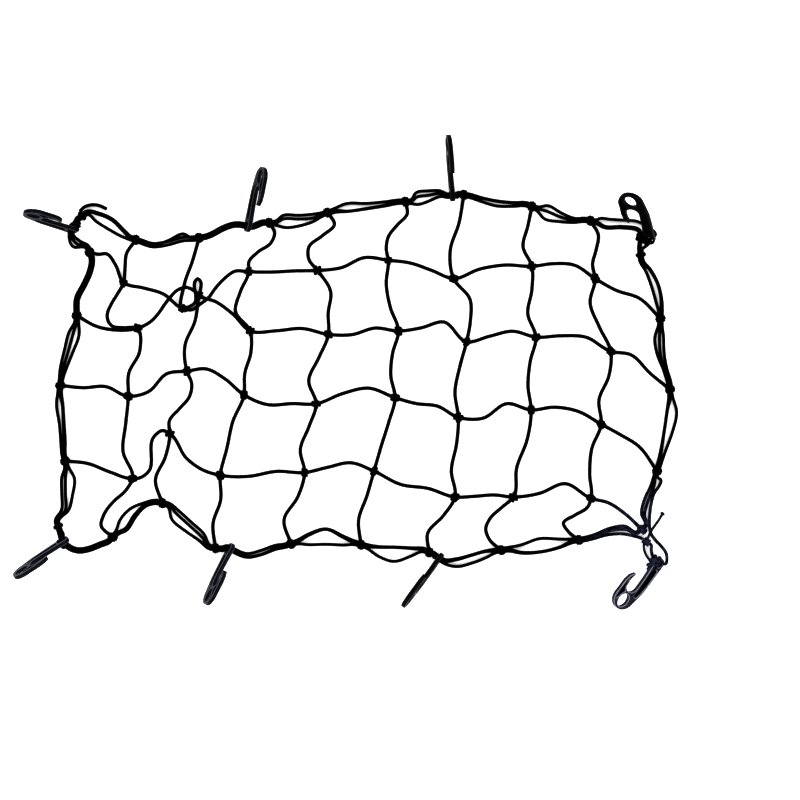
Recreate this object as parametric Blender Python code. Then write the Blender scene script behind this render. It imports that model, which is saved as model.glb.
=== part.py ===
"""Elastic cargo net, 90 by 50 cm, with eight plastic hooks, laid out loose on a flat surface.

+X runs along the net's long side, +Y across it, +Z up. The floor is z = 0, and the origin is the
middle of the whole thing on the floor. All tables are in millimetres.
"""

import math

import bmesh
import bpy
from mathutils import Matrix, Vector

MM = 0.001
MIDDLE_X = -1.0
MIDDLE_Y = -1.5
WELD = 0.02 * MM
PLANAR = math.radians(0.05)

CORD_RADIUS = 2.25
CORD_GAP = 0.6
LANE = 0.5 * (2 * CORD_RADIUS + CORD_GAP)
OVER = 2 * CORD_RADIUS + CORD_GAP
TOP_OVER = OVER + 0.25

KNOT_RADIUS = 6.3
KNOT_BULGE = 0.1
KNOT_FOOT = 1.3
KNOT_SHOULDER = 6.0
KNOT_HEIGHT = 9.5
KNOT_LIFT = 1.0
EDGE_LIFT = 0.4
KNOT_TURN = math.radians(37.0)

TIE_RADIUS = 7.4
TIE_REACH = 6.2
CORNER_REACH = 4.6
TIE_BORE = 6.0
TIE_HEIGHT = 6.84
TIE_RIDGES = (0.87, 1.0, 0.87)
BUNDLE_REACH = 7.2
BUNDLE_RISE = 1.44
BUNDLE_TOP = 2.89
SMALL_TIE_RADIUS = 5.2
SMALL_TIE_BORE = 2.9
SMALL_TIE_SHARES = (0.12, 0.5, 0.88)
STRAND_ENDS = 0.3
SHORT_SPREAD = 1.25
LINE_SLACK = 1.5
STRAND_SLACK = 1.45
SMOOTH_STEPS = 4
SPREAD_ROUNDS = 30
SPREAD_STEP = 0.6
LIFT_STEPS = 10
LIFT_ROUNDS = 3

HOOK_THICKNESS = 7.0
SHANK_WIDTH = 17.2
EYE_RADIUS = 6.0
MOUTH = (58.0, 25.5, 10.5)
BEND = (78.5, 24.5, 19.5)
BEND_HOLE = (83.0, 24.5, 10.8, 9.0)
POCKET_DEPTH = 2.0
POCKET_OVERCUT = 1.0
MOUTH_STEPS = 7
BEND_STEPS = 7
EYE_END_STEPS = 5
EYE_STEPS = 10
BEND_HOLE_STEPS = 8
EYE_REACH = 4.6
EYE_SEAT = 3.1

# Knots of the net, row by row: (x, y) where each down line crosses.
KNOTS = {
    "top": [(-314, 192), (-221, 195), (-118, 217), (-32, 232),
            (82, 248), (168, 258), (268, 241), (354, 220)],
    "row_1": [(-332, 129), (-245, 91), (-148, 145), (-47, 147),
              (57, 162), (153, 135), (268, 153), (361, 135)],
    "row_2": [(-312, 62), (-221, 110), (-146, 58), (-31, 53),
              (72, 58), (172, 42), (274, 49), (384, 28)],
    "row_3": [(-325, -38), (-239, -1), (-155, -36), (-49, -49),
              (67, -40), (160, -69), (267, -58), (370, -79)],
    "row_4": [(-319, -159), (-264, -93), (-190, -154), (-66, -150),
              (36, -148), (155, -186), (241, -186), (355, -188)],
    "bottom": [(-348, -245), (-275, -195), (-197, -261), (-86, -255),
               (17, -256), (117, -267), (223, -264), (337, -249)],
    "left": [(-382, 174), (-401, 81), (-425, -22), (-418, -133)],
    "right": [(457, 76), (471, -28), (452, -148), (430, -234)],
}

# Each cross line from left to right: how far every stretch lies above the straight line
# between its two knots, at even steps.
CROSS_LINES = [
    [(8, 20, 16), (5, 9), None, (-1, 0), (-1, 9), (5, 3), (8, 8), (10, 14), (2, 11)],
    [(-10, -9), None, (8, 7), (2, 7), (-2, 6), (10, 24), (6, 11), (9, 14), (14, 5)],
    [(2, 9), (-6, 9), (15, 12), (-10, -4), (12, 17), (1, 7), (-5, 13), (11, 12), (8, 14)],
    [(5, 1), (-12, -18, 24, 18), (-16, -13), (-3, 3), (7, 13), (-7, 0), (1, 3), (6, 21), (9, 8)],
]

# Each down line from top to bottom: how far every stretch lies to the right.
DOWN_LINES = [
    [(-8, -4), None, (8, -4), (-6, -12), (-4, -17, -24, -23)],
    [(-2, -6), None, (0, -9), (12, 14, 4, -6), (-3, -14)],
    [(14, 15, 1, -6), (-13, -21), (4, -2), (-5, -2), (3, -6)],
    [(13, -2, -19, -16), (14, 5), (-8, -17), (-5, -12), (-3, -17)],
    [(8, -2, -10, -8), (-8, -7), (-7, -8), (1, 0), (-4, -10)],
    [(-2, -10), (18, 12), (-6, -9), (-1, -7), (-4, -15)],
    [(-6, -13), (-2, -10), (-6, -7), (3, -4), (-14, -27, -30, -21)],
    [(10, 5, -2), (-15, -9), (2, -8), (-9, -7), (-1, -16, -30, -19)],
]

# Slack stretches that cross a neighbour, as (x, y, z) points between their knots.
SLACK = {
    ("cross", 0, 2): [(-233, 89, 4), (-220, 97, 7.2), (-208, 106, 7.2), (-197, 121, 3.5),
                      (-184, 135, 2.25), (-168, 146, 2.25)],
    ("cross", 1, 1): [(-292, 72, 2.25), (-280, 85, 2.25), (-271, 98, 4.5), (-263, 108, 7.2),
                      (-253, 118, 7.2), (-240, 122, 7.2), (-228, 117, 7.2)],
    ("down", 0, 1): [(-342, 111, 2.25), (-351, 96, 2.25), (-356, 83, 2.25), (-355, 73, 3.5),
                     (-348, 65, 7), (-334, 63, 7.2)],
    ("down", 1, 1): [(-235, 94, 2.25), (-227, 100, 2.25), (-226, 111, 2.25), (-228, 123, 2.25),
                     (-227, 131, 2.25), (-223, 135, 2.25), (-219, 131, 2.25), (-219, 119, 2.25)],
}

# Hooks, clockwise from the top left: eye (x, y), heading of the bend from the eye, whether the
# arm lies to the left (1) or right (-1) of that heading, roll of the arm off the floor, and how far
# the knot on the eye props the bend up.
HOOKS = [
    {"eye": (-408.5, 207), "heading": 163, "arm": -1, "roll": 72, "pitch": 29},
    {"eye": (-149, 212), "heading": 79, "arm": -1, "roll": 69, "pitch": 0},
    {"eye": (151, 257), "heading": 95, "arm": -1, "roll": 84, "pitch": 0},
    {"eye": (441, 193), "heading": 105, "arm": 1, "roll": -29, "pitch": 42},
    {"eye": (454, -283), "heading": 234, "arm": -1, "roll": 40, "pitch": 0},
    {"eye": (132, -276), "heading": 234, "arm": -1, "roll": 84, "pitch": 0},
    {"eye": (-175, -262), "heading": 243, "arm": 1, "roll": 72, "pitch": 0},
    {"eye": (-420, -251), "heading": 213, "arm": 1, "roll": 74, "pitch": 0},
]

# Corner ties on the border, (x, y).
CORNER_TIES = {
    "corner_tie_1": (-393, 227),
    "corner_tie_2": (428, 170),
    "corner_tie_4": (-428, -229),
}

# Headings of the strands where they aren't simply from the stretch before to the one after.
HEADINGS = {"corner_tie_1": 35.5, "corner_tie_2": 275, "bottom 2": 173, "corner_tie_4": 108,
            "left 0": 112}

# The border, clockwise from the top left. Each stretch gives how far the inner, the outer and
# the top strand lie outside the straight line to the next station, at its quarter points.
BORDER = [
    ("corner_tie_1", (1, -2, -4), (14, 14, 6), (12, 12, 4)),
    ("top 0", (-11, -9, -3.5), (-6, -4, 1.5), (-8.5, -3, 6.5)),
    ("top 1", (-2, 3, 4.5), (3, 8, 9.5), (0.5, 5.5, 7)),
    ("hook 1", None, None, None),
    ("top 2", (-11, -12, -9), (7.5, 3.5, 1.5), (2, -2, -4)),
    ("top 3", (-2.5, -2.5, -2), (9.5, 5.5, 4), (-2, -2, -1)),
    ("top 4", (-6.5, -3.5, 1), (11.5, 11.5, 9.5), (4.5, 5, 5.5)),
    ("hook 2", None, None, None),
    ("top 5", (-5, -8, -4), (0.5, -0.5, 1.5), (-0.5, -1.2, 0.5)),
    ("top 6", (-13.5, -12, -8), (7, 1, -2), (-1.5, -5, -5)),
    ("top 7", (3, 17.5, 27), (10, 24, 36), (5, 20, 29.5)),
    ("corner_tie_2", (0, 1.5, 1), (7.5, 12, 10), (6, 11, 8.5)),
    ("right 0", (-12, -11.5, -4.5), (1, -1.5, 0), (-5, -7, -3.5)),
    ("right 1", (0.5, 1, 0.5), (15, 13.5, 7.5), (1, 1.3, 1.5)),
    ("right 2", (-3.5, -7.5, -6.5), (9, 4.5, 8), (1, -2, -2)),
    ("right 3", (-9, -9.5, -4), (-1, -2.5, 1.5), (-4, -6, -1)),
    ("bottom 7", (-5, -9.5, -3.5), (7.5, 10.5, 8.5), (6.5, 9.8, 7)),
    ("bottom 6", (-2, 1.5, 4), (8, 13.5, 15.5), (-1, 2.2, 5.5)),
    ("hook 5", None, None, None),
    ("bottom 5", (-3.5, -2, 0), (8.5, 19.5, 13.5), (-2.5, -1.4, 1)),
    ("bottom 4", (-12, -23, -15), (1, 0, 1), (-10, -22, -13)),
    ("bottom 3", (0, 6, 9), (6, 12.5, 14.5), (4.5, 11.8, 13.5)),
    ("hook 6", None, None, None),
    ("bottom 2", (-5, -6, -7), (7, 9.5, 9.5), (0.5, -0.5, -1.5)),
    ("bottom 1", (-15.5, -20, -14.5), (-10, -5.5, 3.5), (-12, -9, 0)),
    ("bottom 0", (6.5, 12, 12.5), (11.5, 17, 17.5), (9, 14.5, 15)),
    ("hook 7", None, None, None),
    ("corner_tie_4", (-12.5, -16, -16.5), (-2.5, 0, 2.5), (-8, -5.5, -3)),
    ("left 3", (-2, -2, -2), (4.5, 5, 7.5), (0, -1, -1.2)),
    ("left 2", (-3, -7, -10), (6, 6, 5.5), (1.5, 0, -1)),
    ("left 1", (2, -4.5, -9), (7, 0.5, -4), (4.5, -2, -6.5)),
    ("left 0", (1,), (14.5,), (7,)),
    ("hook 0", None, None, None),
]

# The outer strand threads the two flat-lying corner hooks by itself, apart from the other two.
OUTER_DETOURS = {
    "top 7": [
        [(368, 223.5, 2.25), (382, 222.3, 2.25), (396, 221.3, 2.25), (410, 220.6, 2.25),
         (423, 219, 2.25), (432, 214.8, 2.25), (440.5, 209, 2.25), (447.5, 204.5, 2.25),
         (450, 199.3, 2.25), "into 3"],
        ["out of 3", (436.3, 183.3, 12.3), (432.2, 180.3, 9.3)],
    ],
    "right 2": [
        [(458, -161.5, 2.25), (455.5, -169, 2.25), (448, -180, 2.25), (443, -198, 2.25),
         (441, -216, 2.25), (441, -230, 2.25), (443.5, -240.5, 2.25), (449.5, -249, 2.25),
         (457.5, -257.5, 3.2), (464, -266, 6.5), (466.3, -275, 10.5), (464, -284.5, 13.8),
         "out of 4"],
        ["into 4", (446, -273.5, 2.25), (443.5, -264.5, 2.8), (442.5, -255.5, 5.2)],
        [(430.5, -247.5, 5.2), (424, -245, 3.4), (416, -243, 2.25), (404, -240.5, 2.25),
         (390, -240.3, 2.25), (376, -242.3, 2.25), (358, -247.5, 2.25)],
    ],
}
DETOUR_ENDS = {"top 7": "corner_tie_2", "right 2": "bottom 7"}
LONE_TIE = {"name": "corner_tie_3", "points": [(442.5, -255.5, 5.2), (430.5, -247.5, 5.2)]}

# Free tails of the corner ties.
TAILS = {
    "corner_tie_1": [(-396, 233.5, 8), (-391, 239.2, 6), (-383, 242.8, 3), (-370, 243, 2.25),
                     (-358, 238, 2.25)],
    "corner_tie_3": [(438, -248, 7), (440.5, -241, 7.4), (444.5, -234, 7.4), (449, -227.5, 4),
                     (453.5, -221.5, 2.25), (460, -210.5, 2.25)],
}

BLACK_CORD = ("black_elastic_cord", (0.012, 0.012, 0.014, 1.0), 0.75)
BLACK_PLASTIC = ("black_plastic", (0.015, 0.016, 0.022, 1.0), 0.38)


def clear_scene():
    for old in list(bpy.data.objects):
        bpy.data.objects.remove(old, do_unlink=True)


def new_collection(name):
    group = bpy.data.collections.new(name)
    bpy.context.scene.collection.children.link(group)
    return group


def new_material(name, colour, roughness):
    material = bpy.data.materials.new(name)
    material.use_nodes = True
    shader = material.node_tree.nodes["Principled BSDF"]
    shader.inputs["Base Color"].default_value = colour
    shader.inputs["Roughness"].default_value = roughness
    shader.inputs["Metallic"].default_value = 0.0
    return material


def centred(point):
    """A table point moved so that the whole thing is centred on the origin."""
    return Vector((point[0] - MIDDLE_X, point[1] - MIDDLE_Y, point[2]))


# Routes

def smooth(points, first=None, last=None):
    """A curve through the points; first and last are its directions at the two ends, if given."""
    count = len(points)
    tangents = []
    for i, here in enumerate(points):
        before = points[max(i - 1, 0)]
        after = points[min(i + 1, count - 1)]
        gap_before = max((here - before).length, 1e-6)
        gap_after = max((after - here).length, 1e-6)
        slope = (here - before) / gap_before * gap_after + (after - here) / gap_after * gap_before
        tangents.append(slope / (gap_before + gap_after))
    tangents[0] = first or (points[1] - points[0]).normalized()
    tangents[-1] = last or (points[-1] - points[-2]).normalized()
    route = []
    for i in range(count - 1):
        start, end = points[i], points[i + 1]
        span = (end - start).length
        for k in range(SMOOTH_STEPS):
            t = k / SMOOTH_STEPS
            place = (
                start * (2 * t ** 3 - 3 * t ** 2 + 1)
                + tangents[i] * span * (t ** 3 - 2 * t ** 2 + t)
                + end * (3 * t ** 2 - 2 * t ** 3)
                + tangents[i + 1] * span * (t ** 3 - t ** 2)
            )
            place.z = max(place.z, CORD_RADIUS)
            route.append(place)
    route.append(points[-1].copy())
    return route


def thinned(route, slack):
    """The route without the points that lie within slack of the straight run past them."""
    kept = [route[0]]
    last = 0
    for i in range(2, len(route)):
        run = route[i] - route[last]
        worst = 0.0
        for j in range(last + 1, i):
            offset = route[j] - route[last]
            along = max(0.0, min(1.0, offset.dot(run) / max(run.length_squared, 1e-9)))
            worst = max(worst, (offset - run * along).length)
        if worst > slack:
            kept.append(route[i - 1])
            last = i - 1
    kept.append(route[-1])
    return kept


def bowed(start, end, bows, sideways):
    """Points between two knots, moved sideways by the bows at even steps."""
    points = []
    for i, bow in enumerate(bows):
        share = (i + 1) / (len(bows) + 1)
        point = start.lerp(end, share) + sideways * bow
        point.z = CORD_RADIUS
        points.append(point)
    return points


def net_line(kind, index, knots, stretches, sideways):
    """One line of the net through its knots, from edge to edge."""
    points = []
    for i, bows in enumerate(stretches):
        start, end = knots[i], knots[i + 1]
        points.append(start)
        if bows is None:
            points.extend(Vector(p) for p in SLACK[(kind, index, i)])
        else:
            points.extend(bowed(start, end, bows, sideways))
    points.append(knots[-1])
    return thinned(smooth([centred(p) for p in points]), LINE_SLACK)


# Solids

def as_mesh_object(curve_object, group):
    """The curve object made a mesh with its caps welded."""
    bpy.context.view_layer.update()
    depsgraph = bpy.context.evaluated_depsgraph_get()
    mesh = bpy.data.meshes.new_from_object(curve_object.evaluated_get(depsgraph))
    name = curve_object.name
    matrix = curve_object.matrix_world.copy()
    bpy.data.objects.remove(curve_object, do_unlink=True)
    shape = bmesh.new()
    shape.from_mesh(mesh)
    bmesh.ops.remove_doubles(shape, verts=shape.verts, dist=WELD)
    bmesh.ops.recalc_face_normals(shape, faces=shape.faces)
    shape.to_mesh(mesh)
    shape.free()
    result = bpy.data.objects.new(name, mesh)
    result.matrix_world = matrix
    group.objects.link(result)
    return result


def tube(name, route, radius, group, swells=None, resolution=1):
    """A round cord along the route, in metres, with filled ends."""
    curve = bpy.data.curves.new(name, "CURVE")
    curve.dimensions = "3D"
    curve.bevel_depth = radius * MM
    curve.bevel_resolution = resolution
    curve.use_fill_caps = True
    curve.render_resolution_u = 0
    spline = curve.splines.new("POLY")
    spline.points.add(len(route) - 1)
    for i, point in enumerate(route):
        spline.points[i].co = (point.x * MM, point.y * MM, point.z * MM, 1.0)
        spline.points[i].radius = swells[i] if swells else 1.0
    curve_object = bpy.data.objects.new(name, curve)
    group.objects.link(curve_object)
    return as_mesh_object(curve_object, group)


def flatten_underside(solid):
    """Presses whatever is below the floor up to it, so that the piece rests flat."""
    for vertex in solid.data.vertices:
        vertex.co.z = max(vertex.co.z, 0.0)


def knot_lump(name, centre, turn, group):
    """A knot of the net: a squat lump with four bulges where the cord wraps over itself."""
    shape = bmesh.new()
    bmesh.ops.create_uvsphere(shape, u_segments=8, v_segments=4, radius=1.0)
    for vertex in shape.verts:
        around = math.atan2(vertex.co.y, vertex.co.x)
        across = math.hypot(vertex.co.x, vertex.co.y)
        reach = KNOT_RADIUS * (1.0 + KNOT_BULGE * math.cos(4 * around))
        height = KNOT_SHOULDER + (KNOT_HEIGHT - KNOT_SHOULDER) * vertex.co.z
        below_middle = vertex.co.z < -0.1
        if below_middle:
            reach *= KNOT_FOOT
            height = 0.0
        vertex.co = Vector((math.cos(around), math.sin(around), 0.0)) * reach * across * MM
        vertex.co.z = height * MM
    place = Matrix.Translation((centre.x * MM, centre.y * MM, 0.0)) @ Matrix.Rotation(turn, 4, "Z")
    bmesh.ops.transform(shape, verts=shape.verts, matrix=place)
    mesh = bpy.data.meshes.new(name)
    shape.to_mesh(mesh)
    shape.free()
    lump = bpy.data.objects.new(name, mesh)
    group.objects.link(lump)
    return lump


def boolean(target, operation, group):
    """Joins every solid of the group to the target, or cuts it out, and keeps the plain mesh."""
    step = target.modifiers.new(operation.lower(), "BOOLEAN")
    step.operation = operation
    step.solver = "EXACT"
    step.operand_type = "COLLECTION"
    step.collection = group
    bpy.context.view_layer.update()
    depsgraph = bpy.context.evaluated_depsgraph_get()
    mesh = bpy.data.meshes.new_from_object(target.evaluated_get(depsgraph))
    target.modifiers.clear()
    target.data = mesh


def triangulated(solid):
    """Merges the faces that lie in one plane and splits all of them into triangles."""
    shape = bmesh.new()
    shape.from_mesh(solid.data)
    bmesh.ops.remove_doubles(shape, verts=shape.verts, dist=WELD)
    bmesh.ops.dissolve_limit(shape, verts=shape.verts, edges=shape.edges, angle_limit=PLANAR)
    bmesh.ops.triangulate(shape, faces=shape.faces)
    shape.to_mesh(solid.data)
    shape.free()


def finish(solid, name, material, group):
    """Names the solid, gives it its material and puts it in its collection alone."""
    solid.name = name
    solid.data.name = name
    solid.data.materials.clear()
    solid.data.materials.append(material)
    for old in list(solid.users_collection):
        old.objects.unlink(solid)
    group.objects.link(solid)


# Hooks

def arc(centre_u, centre_v, radius, start, end, steps):
    """Points on a round stretch, angles in degrees from the +u axis towards +v."""
    points = []
    for i in range(steps + 1):
        angle = math.radians(start + (end - start) * i / steps)
        points.append((centre_u + radius * math.cos(angle), centre_v + radius * math.sin(angle)))
    return points


def hook_outline():
    """The outside of the hook: u along the shank from the eye, v from the shank's back."""
    eye_outer = 0.5 * SHANK_WIDTH
    points = [(40.0, 15.0)]
    points += arc(*MOUTH, 270, 450, MOUTH_STEPS)
    points += [(49.0, 35.6), (41.5, 33.4), (40.4, 35.2), (47.0, 41.0), (57.0, 43.6)]
    points += arc(*BEND, 102, -72, BEND_STEPS)
    points += [(72.0, 3.4), (58.0, 0.6), (40.0, 0.0)]
    points += arc(eye_outer, eye_outer, eye_outer, 270, 90, EYE_END_STEPS)
    return points


def ellipse(centre_u, centre_v, half_u, half_v, steps):
    points = []
    for i in range(steps):
        angle = 2 * math.pi * (i + 0.5) / steps
        points.append((centre_u + half_u * math.cos(angle), centre_v + half_v * math.sin(angle)))
    return points


SHANK_POCKET = [(19.5, 3.0), (45.0, 2.8), (60.0, 4.0), (71.0, 7.2), (69.5, 12.2), (58.0, 12.4),
                (19.5, 13.2)]
ARM_POCKET = [(51.0, 38.6), (60.0, 41.2), (80.0, 41.2), (87.5, 38.4), (75.0, 34.4), (70.4, 31.4),
              (66.0, 36.0)]


def flat_plate(name, loops, bottom, top, group):
    """A plate between two heights from closed outlines: the first is its edge, the rest holes."""
    curve = bpy.data.curves.new(name, "CURVE")
    curve.dimensions = "2D"
    curve.fill_mode = "BOTH"
    curve.extrude = 0.5 * (top - bottom) * MM
    curve.render_resolution_u = 0
    for loop in loops:
        spline = curve.splines.new("POLY")
        spline.points.add(len(loop) - 1)
        for i, (u, v) in enumerate(loop):
            spline.points[i].co = (u * MM, v * MM, 0.0, 1.0)
        spline.use_cyclic_u = True
    plate = bpy.data.objects.new(name, curve)
    plate.location.z = 0.5 * (top + bottom) * MM
    group.objects.link(plate)
    return as_mesh_object(plate, group)


def eye_origin(points):
    """Outline points moved so that the hook's origin is the centre of its eye."""
    eye = 0.5 * SHANK_WIDTH
    return [(u - eye, v - eye) for u, v in points]


def build_hook_mesh(cutters):
    """One hook, flat, with its web sunk on both faces between raised rims."""
    half = 0.5 * HOOK_THICKNESS
    eye = 0.5 * SHANK_WIDTH
    loops = [
        eye_origin(hook_outline()),
        eye_origin(ellipse(eye, eye, EYE_RADIUS, EYE_RADIUS, EYE_STEPS)),
        eye_origin(ellipse(*BEND_HOLE, BEND_HOLE_STEPS)),
    ]
    plate = flat_plate("hook", loops, -half, half, cutters)
    pockets = new_collection("hook pockets")
    for face in (-1, 1):
        low = half - POCKET_DEPTH if face == 1 else -half - POCKET_OVERCUT
        high = half + POCKET_OVERCUT if face == 1 else -half + POCKET_DEPTH
        for i, pocket in enumerate((SHANK_POCKET, ARM_POCKET)):
            cutter = flat_plate("pocket", [eye_origin(pocket)], low, high, pockets)
            mark_cutter(cutter)
    boolean(plate, "DIFFERENCE", pockets)
    triangulated(plate)
    return plate


def mark_cutter(solid):
    solid.hide_render = True
    solid.display_type = "WIRE"


def hook_turn(hook):
    """The hook's rotation: its shank along the heading, its arm rolled up off the floor."""
    roll = hook["roll"] if hook["arm"] == 1 else 180 - hook["roll"]
    return (
        Matrix.Rotation(math.radians(hook["heading"]), 4, "Z")
        @ Matrix.Rotation(-math.radians(hook["pitch"]), 4, "Y")
        @ Matrix.Rotation(math.radians(roll), 4, "X")
    )


def hook_centre(hook):
    """The eye's centre, at the height where the hook's lowest edge meets the floor."""
    turn = hook_turn(hook)
    half = 0.5 * HOOK_THICKNESS
    lowest = 0.0
    for u, v in eye_origin(hook_outline()):
        for w in (-half, half):
            lowest = min(lowest, (turn @ Vector((u, v, w))).z)
    return centred((hook["eye"][0], hook["eye"][1], -lowest))


# Border

def station_point(station):
    """Where a station of the border stands: a knot, a corner tie or a hook's eye."""
    if station in CORNER_TIES:
        x, y = CORNER_TIES[station]
        return centred((x, y, TIE_HEIGHT))
    row, index = station.split()
    if row == "hook":
        return hook_centre(HOOKS[int(index)])
    x, y = KNOTS[row][int(index)]
    return centred((x, y, TIE_HEIGHT))


def level(vector):
    return Vector((vector.x, vector.y, 0.0)).normalized()


def outward(direction):
    """The side that is left of the direction of travel, which is outside the net."""
    return Vector((-direction.y, direction.x, 0.0)).normalized()


def station_direction(index):
    """The border's direction at a station: along a hook's eye, or from stretch to stretch."""
    station = BORDER[index][0]
    here = station_point(station)
    came_from = station_point(BORDER[index - 1][0])
    goes_to = station_point(BORDER[(index + 1) % len(BORDER)][0])
    if station.startswith("hook"):
        axis = hook_axis(HOOKS[int(station.split()[1])])
        return axis if axis.dot(goes_to - came_from) > 0 else -axis
    if station in HEADINGS:
        heading = math.radians(HEADINGS[station])
        return Vector((math.cos(heading), math.sin(heading), 0.0))
    before = BORDER[index - 1][1]
    after = BORDER[index][1]
    if before:
        came_from = came_from.lerp(here, 0.75) + outward(here - came_from) * before[2]
    if after:
        goes_to = here.lerp(goes_to, 0.25) + outward(goes_to - here) * after[0]
    return (level(here - came_from) + level(goes_to - here)).normalized()


def station_pass(index, lane, rise):
    """The two ends of a strand's straight run through a station, and its direction there."""
    station = BORDER[index][0]
    ahead = station_direction(index)
    middle = station_point(station) + outward(ahead) * lane + Vector((0, 0, rise))
    reach = EYE_REACH if station.startswith("hook") else BUNDLE_REACH
    return middle - ahead * reach, middle + ahead * reach, ahead


def hook_axis(hook):
    return (hook_turn(hook) @ Vector((0.0, 0.0, 1.0, 0.0))).to_3d()


def detour_point(item):
    """A detour's point: a place, or one side of a hook's eye."""
    if isinstance(item, str):
        hook = HOOKS[int(item.split()[-1])]
        axis = hook_axis(hook)
        axis = axis if axis.z > 0 else -axis
        away = 1 if item.startswith("out") else -1
        back = (hook_turn(hook) @ Vector((-1.0, 0.0, 0.0, 0.0))).to_3d()
        return hook_centre(hook) + back * EYE_SEAT + axis * away * EYE_REACH
    return centred(item)


def strand_stretches(column, lane, rise):
    """One strand's stretches from station to station, as lists of points."""
    stretches = {}
    count = len(BORDER)
    stop_at = None
    for i, row in enumerate(BORDER):
        if stop_at and row[0] != stop_at:
            continue
        stop_at = None
        next_index = (i + 1) % count
        detour = OUTER_DETOURS.get(row[0]) if column == 2 else None
        if detour:
            stop_at = DETOUR_ENDS[row[0]]
            next_index = [entry[0] for entry in BORDER].index(stop_at)
        _, leave, first = station_pass(i, lane, rise)
        arrive, _, last = station_pass(next_index, lane, rise)
        if detour:
            stretches[i] = detour_route(detour, leave, first, arrive, last)
            continue
        here = station_point(row[0])
        there = station_point(BORDER[next_index][0])
        points = [leave]
        if row[column]:
            points += bowed(here, there, row[column], outward(there - here))
        else:
            points.append(leave.lerp(arrive, 0.5))
            wanted = SHORT_SPREAD * lane
            points[-1] += outward(there - here) * (wanted - side_of(points[-1], here, there))
        points.append(arrive)
        stretches[i] = thinned(smooth(points, first, last), STRAND_SLACK)
    return stretches


def side_of(point, here, there):
    """How far outward a point lies of the straight line between two stations."""
    return (point - here).dot(outward(there - here))


def detour_route(detour, leave, first, arrive, last):
    """A detour's legs, each smooth, with a straight run between one leg and the next."""
    legs = [[detour_point(item) for item in leg] for leg in detour]
    legs[0].insert(0, leave)
    legs[-1].append(arrive)
    route = []
    for k, leg in enumerate(legs):
        start = (leg[0] - legs[k - 1][-1]).normalized() if k > 0 else first
        end = (legs[k + 1][0] - leg[-1]).normalized() if k + 1 < len(legs) else last
        route += thinned(smooth(leg, start, end), STRAND_SLACK)
    return route


def nearest_on(route, point):
    """The place on a route nearest to the point, and the number of the run it lies on."""
    best = None
    for i, (start, end) in enumerate(zip(route, route[1:])):
        run = end - start
        along = max(0.0, min(1.0, (point - start).dot(run) / max(run.length_squared, 1e-9)))
        place = start + run * along
        if best is None or (point - place).length < (point - best[0]).length:
            best = (place, i)
    return best


def spread(inner, outer):
    """Moves the bends of two neighbouring stretches apart until the cords clear each other."""
    for _ in range(SPREAD_ROUNDS):
        for mine, other in ((inner, outer), (outer, inner)):
            for k, point in enumerate(mine):
                place, run = nearest_on(other, point)
                away = point - place
                step = level(away) * SPREAD_STEP * max(OVER - away.length, 0.0)
                if 0 < k < len(mine) - 1:
                    point += step
                else:
                    for j in (run, run + 1):
                        if 0 < j < len(other) - 1:
                            other[j] -= step


def height_over(point, route):
    """Height that a cord at the point needs to lie clear on top of the route's cord."""
    best = CORD_RADIUS
    for start, end in zip(route, route[1:]):
        run = Vector((end.x - start.x, end.y - start.y))
        offset = Vector((point.x - start.x, point.y - start.y))
        along = max(0.0, min(1.0, offset.dot(run) / max(run.length_squared, 1e-9)))
        gap = (offset - run * along).length
        if gap < TOP_OVER:
            below = start.z + (end.z - start.z) * along
            best = max(best, below + math.sqrt(TOP_OVER ** 2 - gap ** 2))
    return best


def lifted(route, below):
    """The route raised until it lies on top of the strands below it all the way."""
    raised = [point.copy() for point in route]
    for point in raised[1:-1]:
        point.z = max(height_over(point, strand) for strand in below)
    raised = thinned(raised, STRAND_SLACK)
    for _ in range(LIFT_ROUNDS):
        for i in range(len(raised) - 1):
            for k in range(LIFT_STEPS + 1):
                share = k / LIFT_STEPS
                place = raised[i].lerp(raised[i + 1], share)
                short = max(height_over(place, strand) for strand in below) - place.z
                nearer = min(max(i + round(share), 1), len(raised) - 2)
                if short > 0.0 and len(raised) > 2:
                    raised[nearer].z += short
    return raised


def border_routes():
    """The three strands of the border, each from the first corner tie all the way round to it."""
    inner = strand_stretches(1, -LANE, -BUNDLE_RISE)
    outer = strand_stretches(2, LANE, -BUNDLE_RISE)
    for i, stretch in inner.items():
        if i in outer and BORDER[i][0] not in OUTER_DETOURS:
            spread(stretch, outer[i])
    routes = {}
    for name, stretches, lane in (("inner", inner, -LANE), ("outer", outer, LANE)):
        routes[name] = joined(stretches, lane, -BUNDLE_RISE)
    top = {}
    for i, stretch in strand_stretches(3, 0.0, BUNDLE_TOP).items():
        top[i] = lifted(stretch, (routes["inner"], routes["outer"]))
    routes["top"] = joined(top, 0.0, BUNDLE_TOP)
    return routes


def joined(stretches, lane, rise):
    """The whole strand, with its two ends meeting in the middle of the first corner tie."""
    arrive, leave, ahead = station_pass(0, lane, rise)
    middle = arrive.lerp(leave, 0.5)
    route = [middle + ahead * STRAND_ENDS]
    for stretch in stretches.values():
        route += stretch
    route.append(middle - ahead * STRAND_ENDS)
    return route


def build():
    clear_scene()
    net_group = new_collection("cargo_net")
    cutters = new_collection("cutters")
    workshop = new_collection("workshop")
    cord = new_material(*BLACK_CORD)
    plastic = new_material(*BLACK_PLASTIC)
    build_net(net_group, cutters, workshop, cord)
    build_border(net_group, cutters, workshop, cord)
    build_hooks(net_group, cutters, plastic)


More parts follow.
